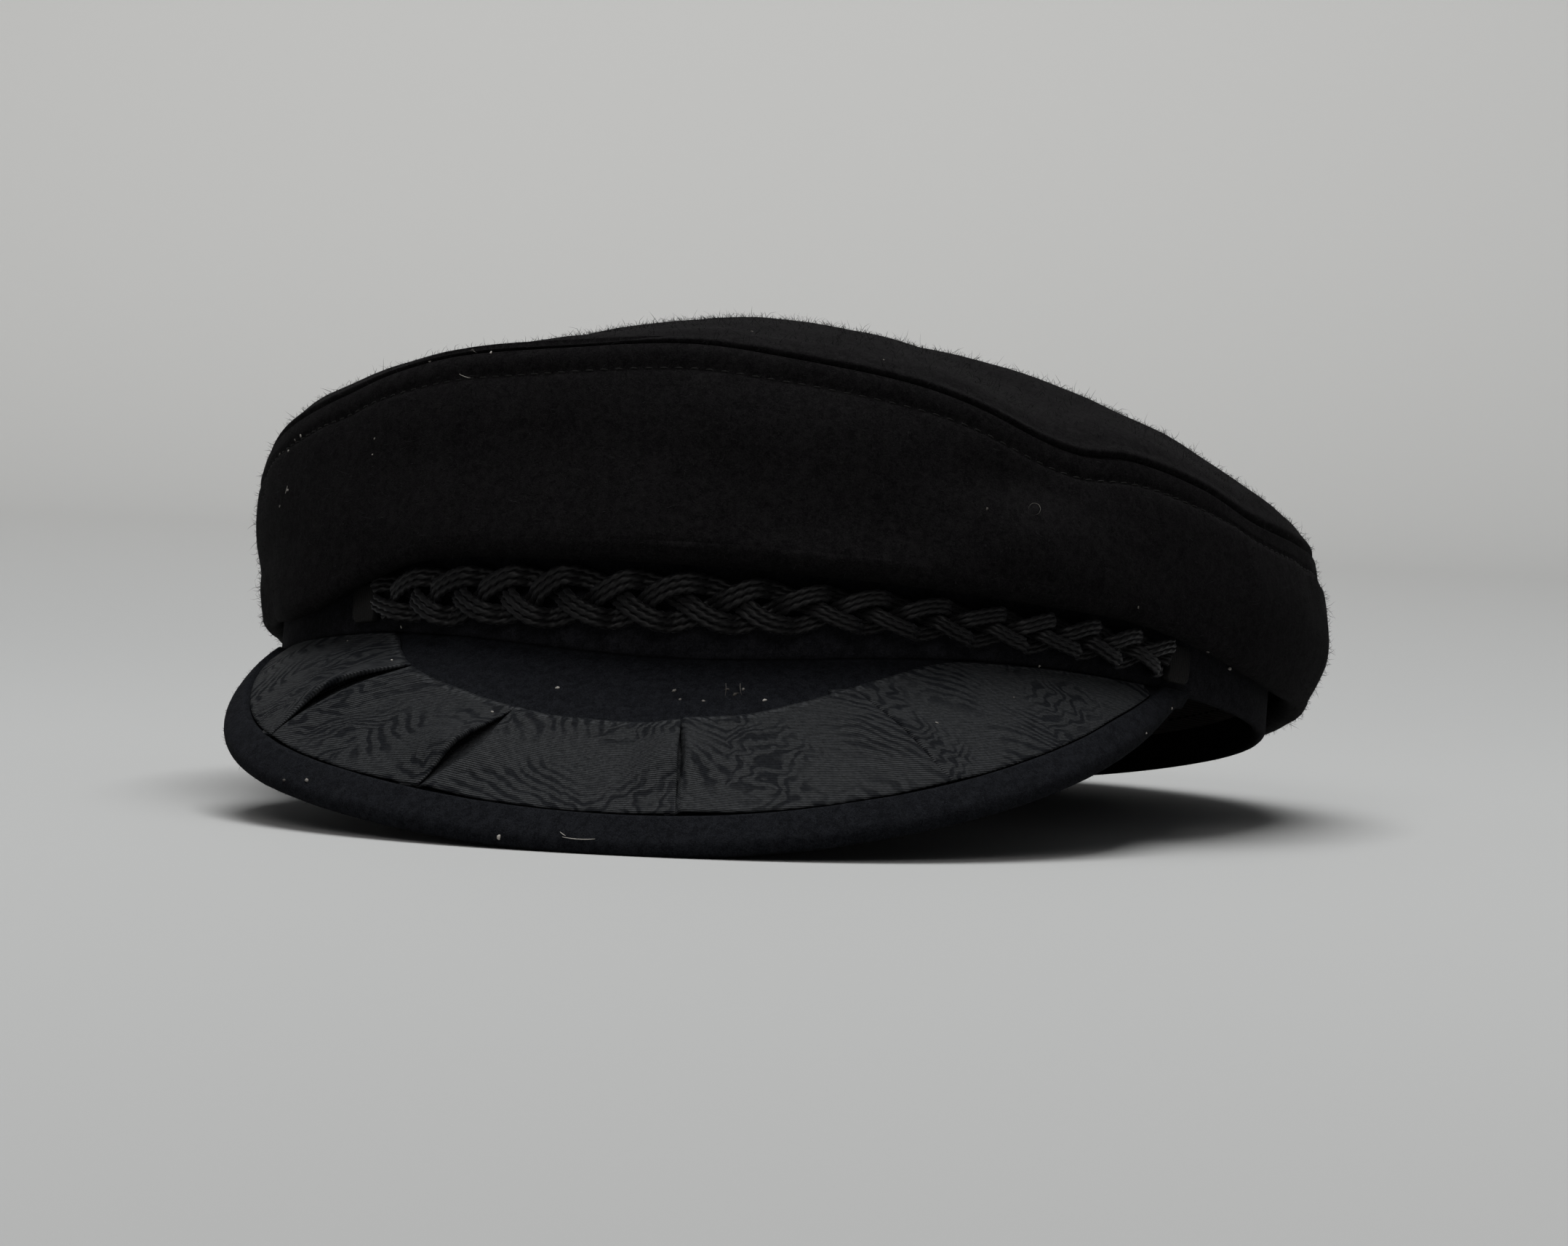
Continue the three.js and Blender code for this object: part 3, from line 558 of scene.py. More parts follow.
ribbed, shader, add = cloth_material("watered_ribbon")
laid = add("ShaderNodeAttribute", attribute_name="cloth").outputs["Vector"]
along, aside, in_from_selvedge = add("ShaderNodeSeparateXYZ", {0: laid}).outputs
flat = add("ShaderNodeCombineXYZ", {0: along, 1: aside}).outputs[0]
wander = noisy(add, flat, 0.13, 1.5, Roughness=0.45)
sweep = noisy(add, flat, 0.055, 0.7)
kinks = noisy(add, flat, 0.22, 1.5)
zigzag = sums(add, "PINGPONG", sums(add, "MULTIPLY_ADD", kinks, 9.0, along), 17.0)
slant = sums(add, "MULTIPLY_ADD", zigzag, 1.9, sums(add, "MULTIPLY", aside, 2.1))
swept = sums(add, "MULTIPLY_ADD", sweep, 46.0, sums(add, "MULTIPLY_ADD", kinks, 9.0, slant))
waves = sums(add, "SUBTRACT", sums(add, "SINE", swept), 2.0)
broken = sums(add, "MULTIPLY_ADD", noisy(add, flat, 0.38), 4.0, waves)
zones = between(add, noisy(add, flat, 0.085, 1), 0.38, 0.56, 0.25, 1.0)
watered = sums(add, "MULTIPLY", between(add, broken, -0.5, 0.9), zones)
wavy = sums(add, "MULTIPLY", wander, 16.0)
phase = sums(add, "MULTIPLY_ADD", aside, 2 * math.pi / RIB_PITCH, wavy)
rib = sums(add, "MULTIPLY_ADD", sums(add, "SINE", phase), 0.5, 0.5)
grain = noisy(add, flat, 2.2, 3)
picks = noisy(add, flat, 1.25, 1)
at_selvedge = between(add, in_from_selvedge, 0.7, 1.5, 1.0, 0.0)
picked = sums(add, "MULTIPLY", between(add, picks, 0.45, 0.62), at_selvedge)
tone = sums(add, "MULTIPLY_ADD", rib, 0.5, sums(add, "MULTIPLY_ADD", grain, 1.1, -0.3))
tone = sums(add, "MULTIPLY_ADD", sums(add, "SUBTRACT", picks, 0.5), 0.7, tone)
tone = sums(add, "MULTIPLY_ADD", picked, 0.7, tone)
lit = blended(add, tone, (0.0078, 0.0083, 0.0088, 1), (0.0385, 0.0400, 0.0418, 1))
dark = blended(add, tone, (0.0017, 0.0020, 0.0028, 1), (0.0090, 0.0098, 0.0116, 1))
lip = between(add, in_from_selvedge, 0.15, 0.4, 0.75, 0.0)
shade = sums(add, "MAXIMUM", sums(add, "MULTIPLY", watered, 0.92), lip)
rib_left = sums(add, "MULTIPLY", rib, sums(add, "MULTIPLY_ADD", watered, -0.6, 1.0))
height = sums(add, "MULTIPLY_ADD", watered, -0.4, rib_left)
plug(shader, {
    "Base Color": blended(add, shade, lit, dark),
    "Roughness": sums(add, "MULTIPLY_ADD", watered, 0.22, 0.5),
    "Normal": bumped(add, height, 0.8, 0.00018),
})
peak_ribbon = solid_piece(
    "peak_ribbon_pleated", points, faces, ribbed, "ribbon", node="peak_ribbon", cloth=cloth
)

# Rim: a strip of the blue-black wool folded over the edge of the board and sewn through. It
# stands a little above the ribbon and closes the peak below, and past the ribbon it is sewn to
# the band.
RIM_RISE = 1.5
RIM_DROP = 2.3
RIM_SLUMP = 0.25
RIM_ROUND = 2.1

azimuth = np.linspace(-PEAK["end"], PEAK["end"], 300)[:, None]
outer_edge, inner_edge = peak_depth(azimuth), rim_inside(azimuth)
round_edge = np.minimum(RIM_ROUND, (outer_edge - inner_edge) * 0.4)
face = np.linspace(0, 1, 13)
roll = face[1:-1] * math.pi
top_down = inner_edge + (outer_edge - inner_edge - round_edge) * face
top_lift = RIM_RISE - 0.9 * hump(top_down, inner_edge, 0.55) - RIM_SLUMP * face**3
edge_down = outer_edge - round_edge + round_edge * np.sin(roll)
middle_lift = (RIM_RISE - RIM_SLUMP - RIM_DROP) / 2
edge_lift = middle_lift + (RIM_RISE - RIM_SLUMP + RIM_DROP) / 2 * np.cos(roll)
edge_lift = np.broadcast_to(edge_lift, edge_down.shape)
down = np.concatenate([top_down, edge_down, top_down[:, ::-1]], 1)
lift = np.concatenate([top_lift, edge_lift, np.full_like(top_down, -RIM_DROP)], 1)
rings = on_peak(azimuth, down, lift)
rings[..., 2] += swells(rings, 12, 8.3) * 0.1 + swells(rings, 3.5, 4.1) * 0.05
below_floor = np.maximum(-to_metres(rings)[..., 2] * 1000, 0)
rings[..., 2] += below_floor * math.cos(TIPPED_BACK)
rings[..., 1] -= below_floor * math.sin(TIPPED_BACK)
past_ribbon = np.clip((np.abs(azimuth) - RIBBON_END) / 0.5 + 1, 0, 1)[..., None]
hem = on_peak(azimuth, inner_edge - GAP - 0.05, -1.0) * (1 - past_ribbon)
hem += under_band(azimuth) * past_ribbon
points, faces = lofted(np.concatenate([hem, rings], 1), False)
peak_rim = solid_piece("peak_rim_wool", points, faces, peak_wool, "peak_wool", node="peak_rim")

# Plait: a flat plait of three strands laid over the front of the band under the crown's overhang.
# Each strand is three fine silky cords side by side, and each cord is twisted from three plies.
PLAIT = table(
    "azimuth height lateral depth width",
    (-44, 5.0, 2.2, 1.05, 2.6), (-34, 6.2, 2.6, 1.2, 2.7), (-24, 6.5, 3.4, 1.35, 3.5),
    (-8, 5.9, 3.4, 1.35, 3.5), (8, 5.8, 3.4, 1.35, 3.5), (16, 6.3, 2.8, 1.55, 2.9),
    (31, 6.4, 2.5, 1.7, 2.6), (45, 6.6, 2.5, 1.7, 2.6), (64, 6.4, 2.3, 1.3, 2.6),
)
PLAIT_FROM, PLAIT_TO, PLAIT_PERIOD = -33.0, 58.0, 31.5
STRAND_THICK = 1.5
CORD_TWIST = 1.9

plait = {name: eased(PLAIT, name) for name in ("height", "lateral", "depth", "width")}


def strand_path(azimuth, strand):
    """The middle of one strand. The strands swap sides in turn, and each dips behind the next."""
    along = np.radians(azimuth) * BAND["front"]
    spot = np.stack([along / 11, np.full_like(along, strand * 5.5), np.full_like(along, 2.5)], -1)
    uneven = swells(spot, 1.0, 0.3)
    turn = 2 * math.pi * along / PLAIT_PERIOD + 2 * math.pi * strand / 3 + uneven * 0.3
    swing = np.sin(2 * turn)
    dip = swing / np.sqrt(swing**2 + 0.2) * 1.1
    depth = plait["depth"](azimuth)
    middle = GAP + STRAND_THICK * 0.6 + depth * 1.02
    aside = plait["lateral"](azimuth) * (1 + uneven * 0.25) * np.sin(turn)
    return off_band(azimuth, middle + depth * dip, plait["height"](azimuth) + aside)


silky, shader, add = cloth_material("silky_cord")
laid = add("ShaderNodeAttribute", attribute_name="cloth").outputs["Vector"]
strands = noisy(add, laid, 5.0)
tint = noisy(add, own_place(add), 110)
tone = sums(add, "MULTIPLY_ADD", strands, 0.6, sums(add, "MULTIPLY", tint, 0.4))
tone = between(add, tone, 0.3, 0.7)
plug(shader, {
    "Base Color": blended(add, tone, (0.0014, 0.0013, 0.0014, 1), (0.0092, 0.0088, 0.0088, 1)),
    "Roughness": between(add, strands, 0.3, 0.7, 0.34, 0.5),
    "Normal": bumped(add, strands, 0.4, 0.0001),
    "Specular IOR Level": 0.17,
    "Sheen Weight": 0.04, "Sheen Roughness": 0.45, "Sheen Tint": (0.9, 0.92, 1.0, 1),
})

azimuth = np.linspace(PLAIT_FROM, PLAIT_TO, 820)
_, outward = on_oval(BAND, azimuth)
outward = np.concatenate([outward, np.zeros((len(azimuth), 1))], 1)
width = plait["width"](azimuth)
radius = width * 0.155 + 0.06
for strand in range(3):
    middle = strand_path(azimuth, strand)
    along = unit(np.gradient(middle, axis=0))
    face = unit(outward - along * np.sum(outward * along, 1, keepdims=True))
    side = np.cross(along, face)
    walked = distance_along(middle)
    cords, cloth = [], []
    for cord in range(3):
        aside = (cord - 1) * (width - 2 * radius) / 2
        raised = (0.2 if cord == 1 else -0.08) + 0.1 * np.sin(walked / 7 + cord * 2 + strand)
        centre = middle + side * aside[:, None] + face * raised[:, None]
        twist = 2 * math.pi * walked / (CORD_TWIST * 3) + cord
        plies = np.arange(12) * math.pi / 6 - twist[:, None]
        lobes = 1 + 0.16 * np.cos(3 * plies)
        cords.append(tube(centre, side, face, radius[:, None] * lobes, 12))
        drawn = np.broadcast_arrays(walked[:, None] * 0.3, np.cos(plies) * 1.5, np.sin(plies) * 1.5)
        cloth.append(np.stack(drawn, -1).reshape(-1, 3) + strand * 9 + cord * 3)
    points, faces = joined(cords)
    name, node = f"plait_strand_{strand + 1}", f"braid_strand_{strand + 1}"
    solid_piece(name, points, faces, silky, "cord", node=node, cloth=np.concatenate(cloth))

# Plait ends: where the plait stops under the overhang it is whipped with thread and sewn flat to
# the band. Both ends are hidden in front and are finished plainly.
TAB = dict(width=6.5, thick=2.0, low=2.6, high=9.6, clear=0.9)


def boxy(value):
    """A sine or cosine pushed out towards -1 and 1."""
    return np.sign(value) * np.abs(value) ** 0.45


for name, start, towards in (("right", PLAIT_FROM, -1), ("left", PLAIT_TO, 1)):
    long = np.linspace(0, 1, 66)
    azimuth = start + towards * (TAB["clear"] + long * math.degrees(TAB["width"] / BAND["front"]))
    wound = 0.16 * np.abs(np.sin(long * math.pi * 11))
    at_ends = np.clip((long - 0.8) / 0.2, 0, 1) ** 2 + np.clip((0.1 - long) / 0.1, 0, 1) ** 2
    low, high = TAB["low"] + 0.9 * at_ends, TAB["high"] - 0.9 * at_ends
    turn = np.linspace(0, 2 * math.pi, 28, endpoint=False)
    half_thick = TAB["thick"] / 2
    out = GAP + half_thick + (half_thick - 0.18 + wound[:, None]) * boxy(np.sin(turn))
    tall = ((high - low) / 2 - 0.15 + wound)[:, None] * boxy(np.cos(turn))
    height = ((low + high) / 2)[:, None] + tall
    points, faces = lofted(off_band(azimuth[:, None], out, height), False)
    solid_piece(f"plait_end_{name}", points, faces, thread_black, "cord", node=f"braid_end_{name}")

# Crown side: one deep strip of milled wool sewn to the top of the band, falling over the plait in a
# soft low fold, turned up again and swelling out to the seam. Below the seam its turned edge makes
# a padded ridge, held by a row of stitches 5 mm down.
CROWN_WALL = 1.8
LEGS_APART = 2.3
BELLY = dict(half_width=99.7, front=116.0, rear=110.0, x=0.4, y=7.0)
SEAM = dict(half_width=97.7, front=110.0, rear=104.0, x=-1.2, y=7.0)
CROWN = table(
    "azimuth fold tuck clear step belly seam ridge",
    (-140, 5, 1.2, 3.2, 12, 19, 35, 3), (-100, 6.8, 1.8, 3.2, 12, 21, 35.5, 3),
    (-75, 7.6, 3.2, 4, 14, 23, 36.6, 3.2), (-60, 6.0, 2.4, 5.4, 13.6, 24, 39.8, 3.2),
    (-50, 4.6, 0.8, 7, 13.6, 22, 41.7, 3), (-40, 5.8, 0, 7, 13.8, 20, 43.8, 2.6),
    (-32, 9.2, 0, 6.8, 13.8, 19.2, 46.3, 1.8), (-23, 12.1, -0.1, 4, 14, 18.6, 48.4, 0.9),
    (-10, 11.9, -0.2, 4, 13.8, 18.4, 49.3, 0.7), (2, 11.7, -0.2, 4, 13.8, 18.4, 50.4, 2.0),
    (13, 11.5, -0.2, 4, 13.6, 18.4, 48.8, 2.4), (24, 11.2, -0.2, 4, 13.4, 18.2, 46.6, 2.4),
    (31, 11, -0.2, 4, 13.2, 18.2, 43.9, 2.4), (38, 10.9, -0.2, 4, 13, 18, 40.2, 2.4),
    (43, 10.8, -0.1, 4, 13, 17.8, 38.8, 2.6), (50, 10.6, 0, 4, 13, 17.8, 39.5, 2.8),
    (61, 8.8, 0.3, 6.4, 13, 18, 37.8, 3), (72, 7.4, 1.8, 5, 12, 19, 34.8, 3.6),
    (86, 6.4, 3.0, 3.6, 11, 18.5, 34.6, 3.8), (102, 7.2, 3.2, 3.2, 11, 18.5, 35.2, 3.8),
    (140, 6, 1.8, 3.2, 12, 18, 35, 3.2), (180, 8, 0.8, 3.2, 13, 20, 35, 3),
)
SIDE_DENTS = table(
    "azimuth spread height reach depth",
    (-14, 20, 30, 7, -0.9), (11, 10, 35, 6, 0.6), (19, 9, 22, 7.5, -1.1), (37, 8, 21, 6, 1.2),
    (35, 8, 31.5, 4.5, -1.8), (-62, 14, 9, 5, 1.1), (-66, 13, 18, 3.5, -1.2),
    (128, 12, 24, 8, -1.8), (162, 12, 20, 7, 1.2), (-118, 13, 25, 8, -1.6),
)
SEAM_SLIT = 0.04
SIDE_SEWN_DOWN = 5.2
STITCH_PITCH = 2.7
UP_SHARES = np.concatenate([np.linspace(0, 0.4, 22, endpoint=False), np.linspace(0.4, 1, 34)])

crown = {name: eased(CROWN, name, closed=True) for name in list(CROWN)[1:]}
crown_wool = wool_material("crown_wool", WOOL_BLACK, WOOL_GREY)


def out_to(oval, azimuth):
    """How far outward from the headband an oval lies, found by halving."""
    point, normal = on_oval(BAND, azimuth)
    near, far = np.full(len(azimuth), -10.0), np.full(len(azimuth), 40.0)
    for _ in range(40):
        out = (near + far) / 2
        x, y = (point + normal * out[:, None] - [oval["x"], oval["y"]]).T
        depth = np.where(y < 0, oval["front"], oval["rear"])
        inside = np.hypot(x / oval["half_width"], y / depth) < 1
        near, far = np.where(inside, out, near), np.where(inside, far, out)
    return near


def through(stops, shares):
    """Places and directions along a smooth curve through stops, one curve for each azimuth."""
    last = stops.shape[1] - 1
    along = np.asarray(shares) * last
    i = np.minimum(along.astype(int), last - 1)
    w = (along - i)[None, :, None]
    before, a, b, after = (stops[:, np.clip(i + k, 0, last)] for k in (-1, 0, 1, 2))
    go, come = (b - before) / 2, (after - a) / 2
    place = a + go * w + (3 * (b - a) - 2 * go - come) * w**2 + (2 * (a - b) + go + come) * w**3
    heading = go + 2 * (3 * (b - a) - 2 * go - come) * w + 3 * (2 * (a - b) + go + come) * w**2
    return place, heading


def side_cloth(azimuth):
    """The middle of the side panel's cloth, as distance out and height, and its outward way."""
    half = CROWN_WALL / 2
    reach, seam_out = out_to(BELLY, azimuth) - half, out_to(SEAM, azimuth) - half
    full, top = crown["belly"](azimuth), crown["seam"](azimuth)
    on_band = np.full(len(azimuth), GAP + half)
    low = reach - crown["tuck"](azimuth)
    inner = np.maximum(np.minimum(crown["clear"](azimuth), low - LEGS_APART), on_band)
    turn = np.maximum(low - inner, LEGS_APART) / 2
    turn_height = crown["fold"](azimuth) + half + turn
    step = np.maximum(crown["step"](azimuth), turn_height + 1)

    def curve(*stops):
        """Stops of out and height as one array, a row for each azimuth."""
        return np.stack([np.stack(np.broadcast_arrays(*stop), -1) for stop in stops], 1)

    down_the_band = curve(
        (on_band, BAND_TOP - 2.0), (on_band, step + 4), (inner, step), (inner, turn_height)
    )
    up_the_side = curve(
        (inner + turn * 2, turn_height), (reach, full),
        (reach + (seam_out - reach) * 0.55 + 0.6, full + (top - full) * 0.6),
        (seam_out + 0.6, top - 3.6), (seam_out - 0.9, top - 1.4), (seam_out - 0.9, top - SEAM_SLIT),
    )
    down, down_heading = through(down_the_band, np.linspace(0, 1, 12, endpoint=False))
    up, up_heading = through(up_the_side, UP_SHARES)
    angle = np.linspace(math.pi, 2 * math.pi, 10, endpoint=False)
    fold = np.stack([np.cos(angle), np.sin(angle)], -1) * turn[:, None, None]
    fold += np.stack([inner + turn, turn_height], -1)[:, None]
    fold_heading = np.broadcast_to(np.stack([-np.sin(angle), np.cos(angle)], -1), fold.shape)
    heading = unit(np.concatenate([down_heading, fold_heading, up_heading], 1))
    across = np.stack([heading[..., 1], -heading[..., 0]], -1)
    across[:, -1] = (1, 0)
    dents = np.zeros(up.shape[:2])
    for dent_azimuth, spread, height, tall, depth in zip(*SIDE_DENTS.values()):
        aside = ((azimuth - dent_azimuth + 540) % 360) - 180
        dents += depth * hump(aside[:, None], 0, spread) * hump(up[..., 1], height, tall)
    up[..., 0] += dents * ease(UP_SHARES / 0.2)
    return np.concatenate([down, fold, up], 1), across


azimuth = np.linspace(-180, 180, 720, endpoint=False)
profile, across = side_cloth(azimuth)
up_side = profile.shape[1] - len(UP_SHARES)
skin = off_band(azimuth[:, None], profile[..., 0], profile[..., 1])
down_from_seam = np.array([distance_along(column[::-1])[::-1] for column in skin])
girth = distance_along(skin[:, -8])[:, None]
stitch_wave = np.cos(2 * math.pi * girth / STITCH_PITCH)
groove = hump(down_from_seam, SIDE_SEWN_DOWN, 0.6) * (0.5 + 0.12 * stitch_wave)
padding = 0.5 * hump(down_from_seam, 3.1, 1.3)
rolled = 1.2 * hump(down_from_seam, 1.5, 1.4) * (1 - 0.6 * hump(down_from_seam, 0, 0.5))
gathers = np.sin(girth / 3.4 + 2.2 * swells(skin * [1, 1, 0.2], 26, 1.7))
puckers = 0.16 * gathers * hump(down_from_seam, 8.5, 4.5)
loose = swells(skin, 30, 4.4) * 0.55 + swells(skin, 11, 9.1) * 0.22 + swells(skin, 4, 2.6) * 0.06
lift = padding + rolled - groove + puckers + loose * np.clip(down_from_seam / 6, 0, 1)
lift[:, :up_side] *= np.linspace(0, 1, up_side) ** 3
face_out = profile + across * (CROWN_WALL / 2 + lift)[..., None]
face_in = (profile - across * CROWN_WALL / 2)[:, ::-5]
face_in[:, -1] = profile[:, 0] - across[:, 0] * CROWN_WALL / 2
both = np.concatenate([face_out, face_in], 1)
side_net = off_band(azimuth[:, None], both[..., 0], both[..., 1])
points, faces = lofted(side_net, True)
crown_side = solid_piece(
    "crown_side_wool", points, faces, crown_wool, "crown_wool", node="crown_side"
)

side_face = side_net[:, :face_out.shape[1]]
side_normals = net_normals(side_face, rows_meet=True)
if side_normals[180, -20] @ side_face[180, -20] < 0:
    side_normals = -side_normals
columns = zip(down_from_seam, np.concatenate([side_face, side_normals], 2))
sewn = np.array([
    [np.interp(SIDE_SEWN_DOWN, walked[::-1], column[::-1, i]) for i in range(6)]
    for walked, column in columns
])
sewn = np.concatenate([sewn, sewn[:1]])
laid_stitches("crown_side_stitches", sewn[:, :3], sewn[:, 3:], STITCH_PITCH, 1.7, 0.34)

# Crown tip: the oval top of the crown in the same wool, a little fuller than the seam asks, so that
# it domes and dents. Its edge is turned in over the seam in a soft ridge.
TIP_DENTS = table(
    "x y reach depth",
    (52, -52, 16, -1.4), (-41, -64, 24, -3.8), (-48, -10, 22, -3.0), (-8, -36, 16, 1.0),
    (-30, 52, 26, -1.4), (34, 62, 24, -1.4), (66, 8, 14, 1.0),
)
DOME = dict(x=0.0, y=5.0, height=68.6, fullness=2.2)
TIP_COLUMNS = 480


def tip_dents(x, y):
    """The hollows and fullnesses of the tip, by place in plan."""
    total = np.zeros(np.shape(x))
    for dent_x, dent_y, reach, depth in zip(*TIP_DENTS.values()):
        total += depth * hump(np.hypot(x - dent_x, y - dent_y), 0, reach)
    return total


def tip_stops(azimuth):
    """The tip's cloth along each azimuth: up from the seam, over the ridge, to the middle."""
    seam_out = out_to(SEAM, azimuth) - CROWN_WALL / 2
    top, ridge = crown["seam"](azimuth), crown["ridge"](azimuth)
    edge = off_band(azimuth, seam_out, top + SEAM_SLIT)
    swell = off_band(azimuth, seam_out + 0.45, top + 0.35 + ridge * 0.3)
    crest = off_band(azimuth, seam_out - 1.3, top + ridge * 0.93)
    flat = off_band(azimuth, seam_out, top + ridge)
    stops = [edge, swell, crest]
    for share in (0.955, 0.9, 0.82, 0.7, 0.54, 0.36, 0.18):
        x = DOME["x"] + (flat[:, 0] - DOME["x"]) * share
        y = DOME["y"] + (flat[:, 1] - DOME["y"]) * share
        rise = 1 - share ** DOME["fullness"]
        z = flat[:, 2] + (DOME["height"] - flat[:, 2]) * rise
        z += tip_dents(x, y) * ease((1 - share - 0.02) / 0.18)
        stops.append(np.stack([x, y, z], -1))
    top_height = DOME["height"] + float(tip_dents(DOME["x"], DOME["y"]))
    stops.append(np.broadcast_to([DOME["x"], DOME["y"], top_height], edge.shape))
    return np.stack(stops, 1)


azimuth = np.linspace(-180, 180, TIP_COLUMNS, endpoint=False)
near_seam = np.linspace(0, 0.5, 46, endpoint=False)
shares = np.concatenate([near_seam, np.linspace(0.5, 1, 20, endpoint=False)])
face, _ = through(tip_stops(azimuth), shares)
normals = net_normals(face, rows_meet=True)
if normals[0, 40, 2] < 0:
    normals = -normals
from_seam = np.array([distance_along(column) for column in face])
girth = distance_along(face[:, 6])[:, None]
gathers = np.sin(girth / 3.9 + 2.5 * swells(face * [1, 1, 0.2], 28, 6.7))
puckers = 0.14 * gathers * hump(from_seam, 9, 4.5)
loose = swells(face, 34, 5.9) * 0.6 + swells(face, 12, 3.3) * 0.22 + swells(face, 4, 8.8) * 0.06
lift = puckers + loose * np.clip((from_seam - 3) / 8, 0, 1)
outer = face + normals * lift[..., None]
inner = (face - normals * CROWN_WALL)[:, ::4]
turned_in = out_to(SEAM, azimuth) - CROWN_WALL / 2 - CROWN_WALL - GAP
inner[:, 0] = off_band(azimuth, turned_in, crown["seam"](azimuth) + SEAM_SLIT)
net = np.concatenate([outer[:, ::-1], inner], 1)
rows = net.shape[1]
middle = np.array([[DOME["x"], DOME["y"], outer[:, -1, 2].mean()]])
points = np.concatenate([net.reshape(-1, 3), middle, middle - [[0, 0, CROWN_WALL]]])
faces = patches(TIP_COLUMNS, rows, True, False).tolist()
for i in range(TIP_COLUMNS):
    here, after = i * rows, (i + 1) % TIP_COLUMNS * rows
    faces.append([TIP_COLUMNS * rows, after, here])
    faces.append([TIP_COLUMNS * rows + 1, here + rows - 1, after + rows - 1])
crown_tip = solid_piece("crown_tip_wool", points, faces, crown_wool, "crown_wool", node="crown_tip")

# Nap: the loose fibres that stand on the wool, about a millimetre long on the crown and shorter on
# the band and the peak, where handling has worn them down. Each is a single wool fibre, lighter
# than the matted cloth because the light comes through it.
nap_wool, shader, add = cloth_material("crown_nap")
tone = between(add, noisy(add, own_place(add), 900), 0.35, 0.65)
tone = blended(add, tone, (0.006, 0.00592, 0.00608, 1), (0.015, 0.0148, 0.0152, 1))
plug(shader, {"Base Color": tone, "Roughness": 0.7})


def outer_side(places, normals):
    """1 on the faces of the crown that look outward or up, 0 on its hidden inner faces."""
    middle = to_metres([[0, 5, 20]])[0]
    return (np.sum((places - middle) * normals, 1) > 0.004).astype(float)


def nap(name, piece, count, length, thick, lean, seed, kept=None):
    """Loose fibres on a piece's cloth, each a tapered three-sided hair bent at its middle."""
    mesh = piece.data
    mesh.calc_loop_triangles()
    places = np.empty(len(mesh.vertices) * 3)
    mesh.vertices.foreach_get("co", places)
    corners = np.empty(len(mesh.loop_triangles) * 3, int)
    mesh.loop_triangles.foreach_get("vertices", corners)
    a, b, c = np.moveaxis(places.reshape(-1, 3)[corners.reshape(-1, 3)], 1, 0)
    across = np.cross(b - a, c - a)
    area = np.linalg.norm(across, axis=1)
    normals = across / np.maximum(area, 1e-12)[:, None]
    if kept is not None:
        area = area * kept((a + b + c) / 3, normals)
    rng = np.random.default_rng(seed)
    picked = rng.choice(len(area), count, p=area / area.sum())
    u, v = rng.random((2, count, 1))
    u, v = np.where(u + v > 1, 1 - u, u), np.where(u + v > 1, 1 - v, v)
    root = a[picked] + u * (b - a)[picked] + v * (c - a)[picked]
    up = normals[picked]
    any_way = rng.normal(size=(count, 3))
    flat = unit(any_way - up * np.sum(any_way * up, 1, keepdims=True))
    slant = np.radians(np.clip(rng.normal(lean, 16, (count, 1)), 5, 86))
    reach = length * rng.gamma(4.0, 0.25, (count, 1)) / 1000
    first = up * np.cos(slant) + flat * np.sin(slant)
    turned = np.cross(up, flat) * rng.normal(0, 0.5, (count, 1))
    second = unit(first + turned + up * rng.normal(-0.15, 0.3, (count, 1)))
    side = unit(np.cross(first, up + flat * 0.3))
    third = np.cross(first, side)
    wide = thick * rng.uniform(0.7, 1.3, (count, 1)) / 2000
    middle = root + first * reach * 0.5
    points = [
        centre + (side * math.cos(turn) + third * math.sin(turn)) * wide * share
        for centre, share in ((root - up * 0.00015, 1.0), (middle, 0.75))
        for turn in (0, 2 * math.pi / 3, 4 * math.pi / 3)
    ]
    points = np.stack([*points, middle + second * reach * 0.5], 1)
    hair = [(0, 2, 1)]
    for i, j in ((0, 1), (1, 2), (2, 0)):
        hair += [(i, j, j + 3), (i, j + 3, i + 3), (i + 3, j + 3, 6)]
    faces = (np.arange(count)[:, None, None] * 7 + np.array(hair)).reshape(-1, 3)
    made = bpy.data.meshes.new(name)
    made.from_pydata(points.reshape(-1, 3).tolist(), [], faces.tolist())
    piece_on_cap(name, made, nap_wool)


nap("crown_tip_nap", crown_tip, 13000, 1.15, 0.068, 52, 11, outer_side)
nap("crown_side_nap", crown_side, 15000, 1.1, 0.067, 52, 12, outer_side)
nap("headband_nap", headband, 3000, 0.6, 0.05, 60, 13, outer_side)
nap("peak_rim_nap", peak_rim, 4000, 0.5, 0.05, 62, 14)
nap("peak_board_nap", peak_board, 2400, 0.5, 0.05, 64, 15)

# Floor and backdrop: a pale sheet that runs back from under the cap and curves up behind it.
FLOOR_WIDE, FLOOR_NEAR, FLOOR_FAR, SWEEP, WALL_HIGH = 6.0, -3.0, 1.6, 0.8, 3.2

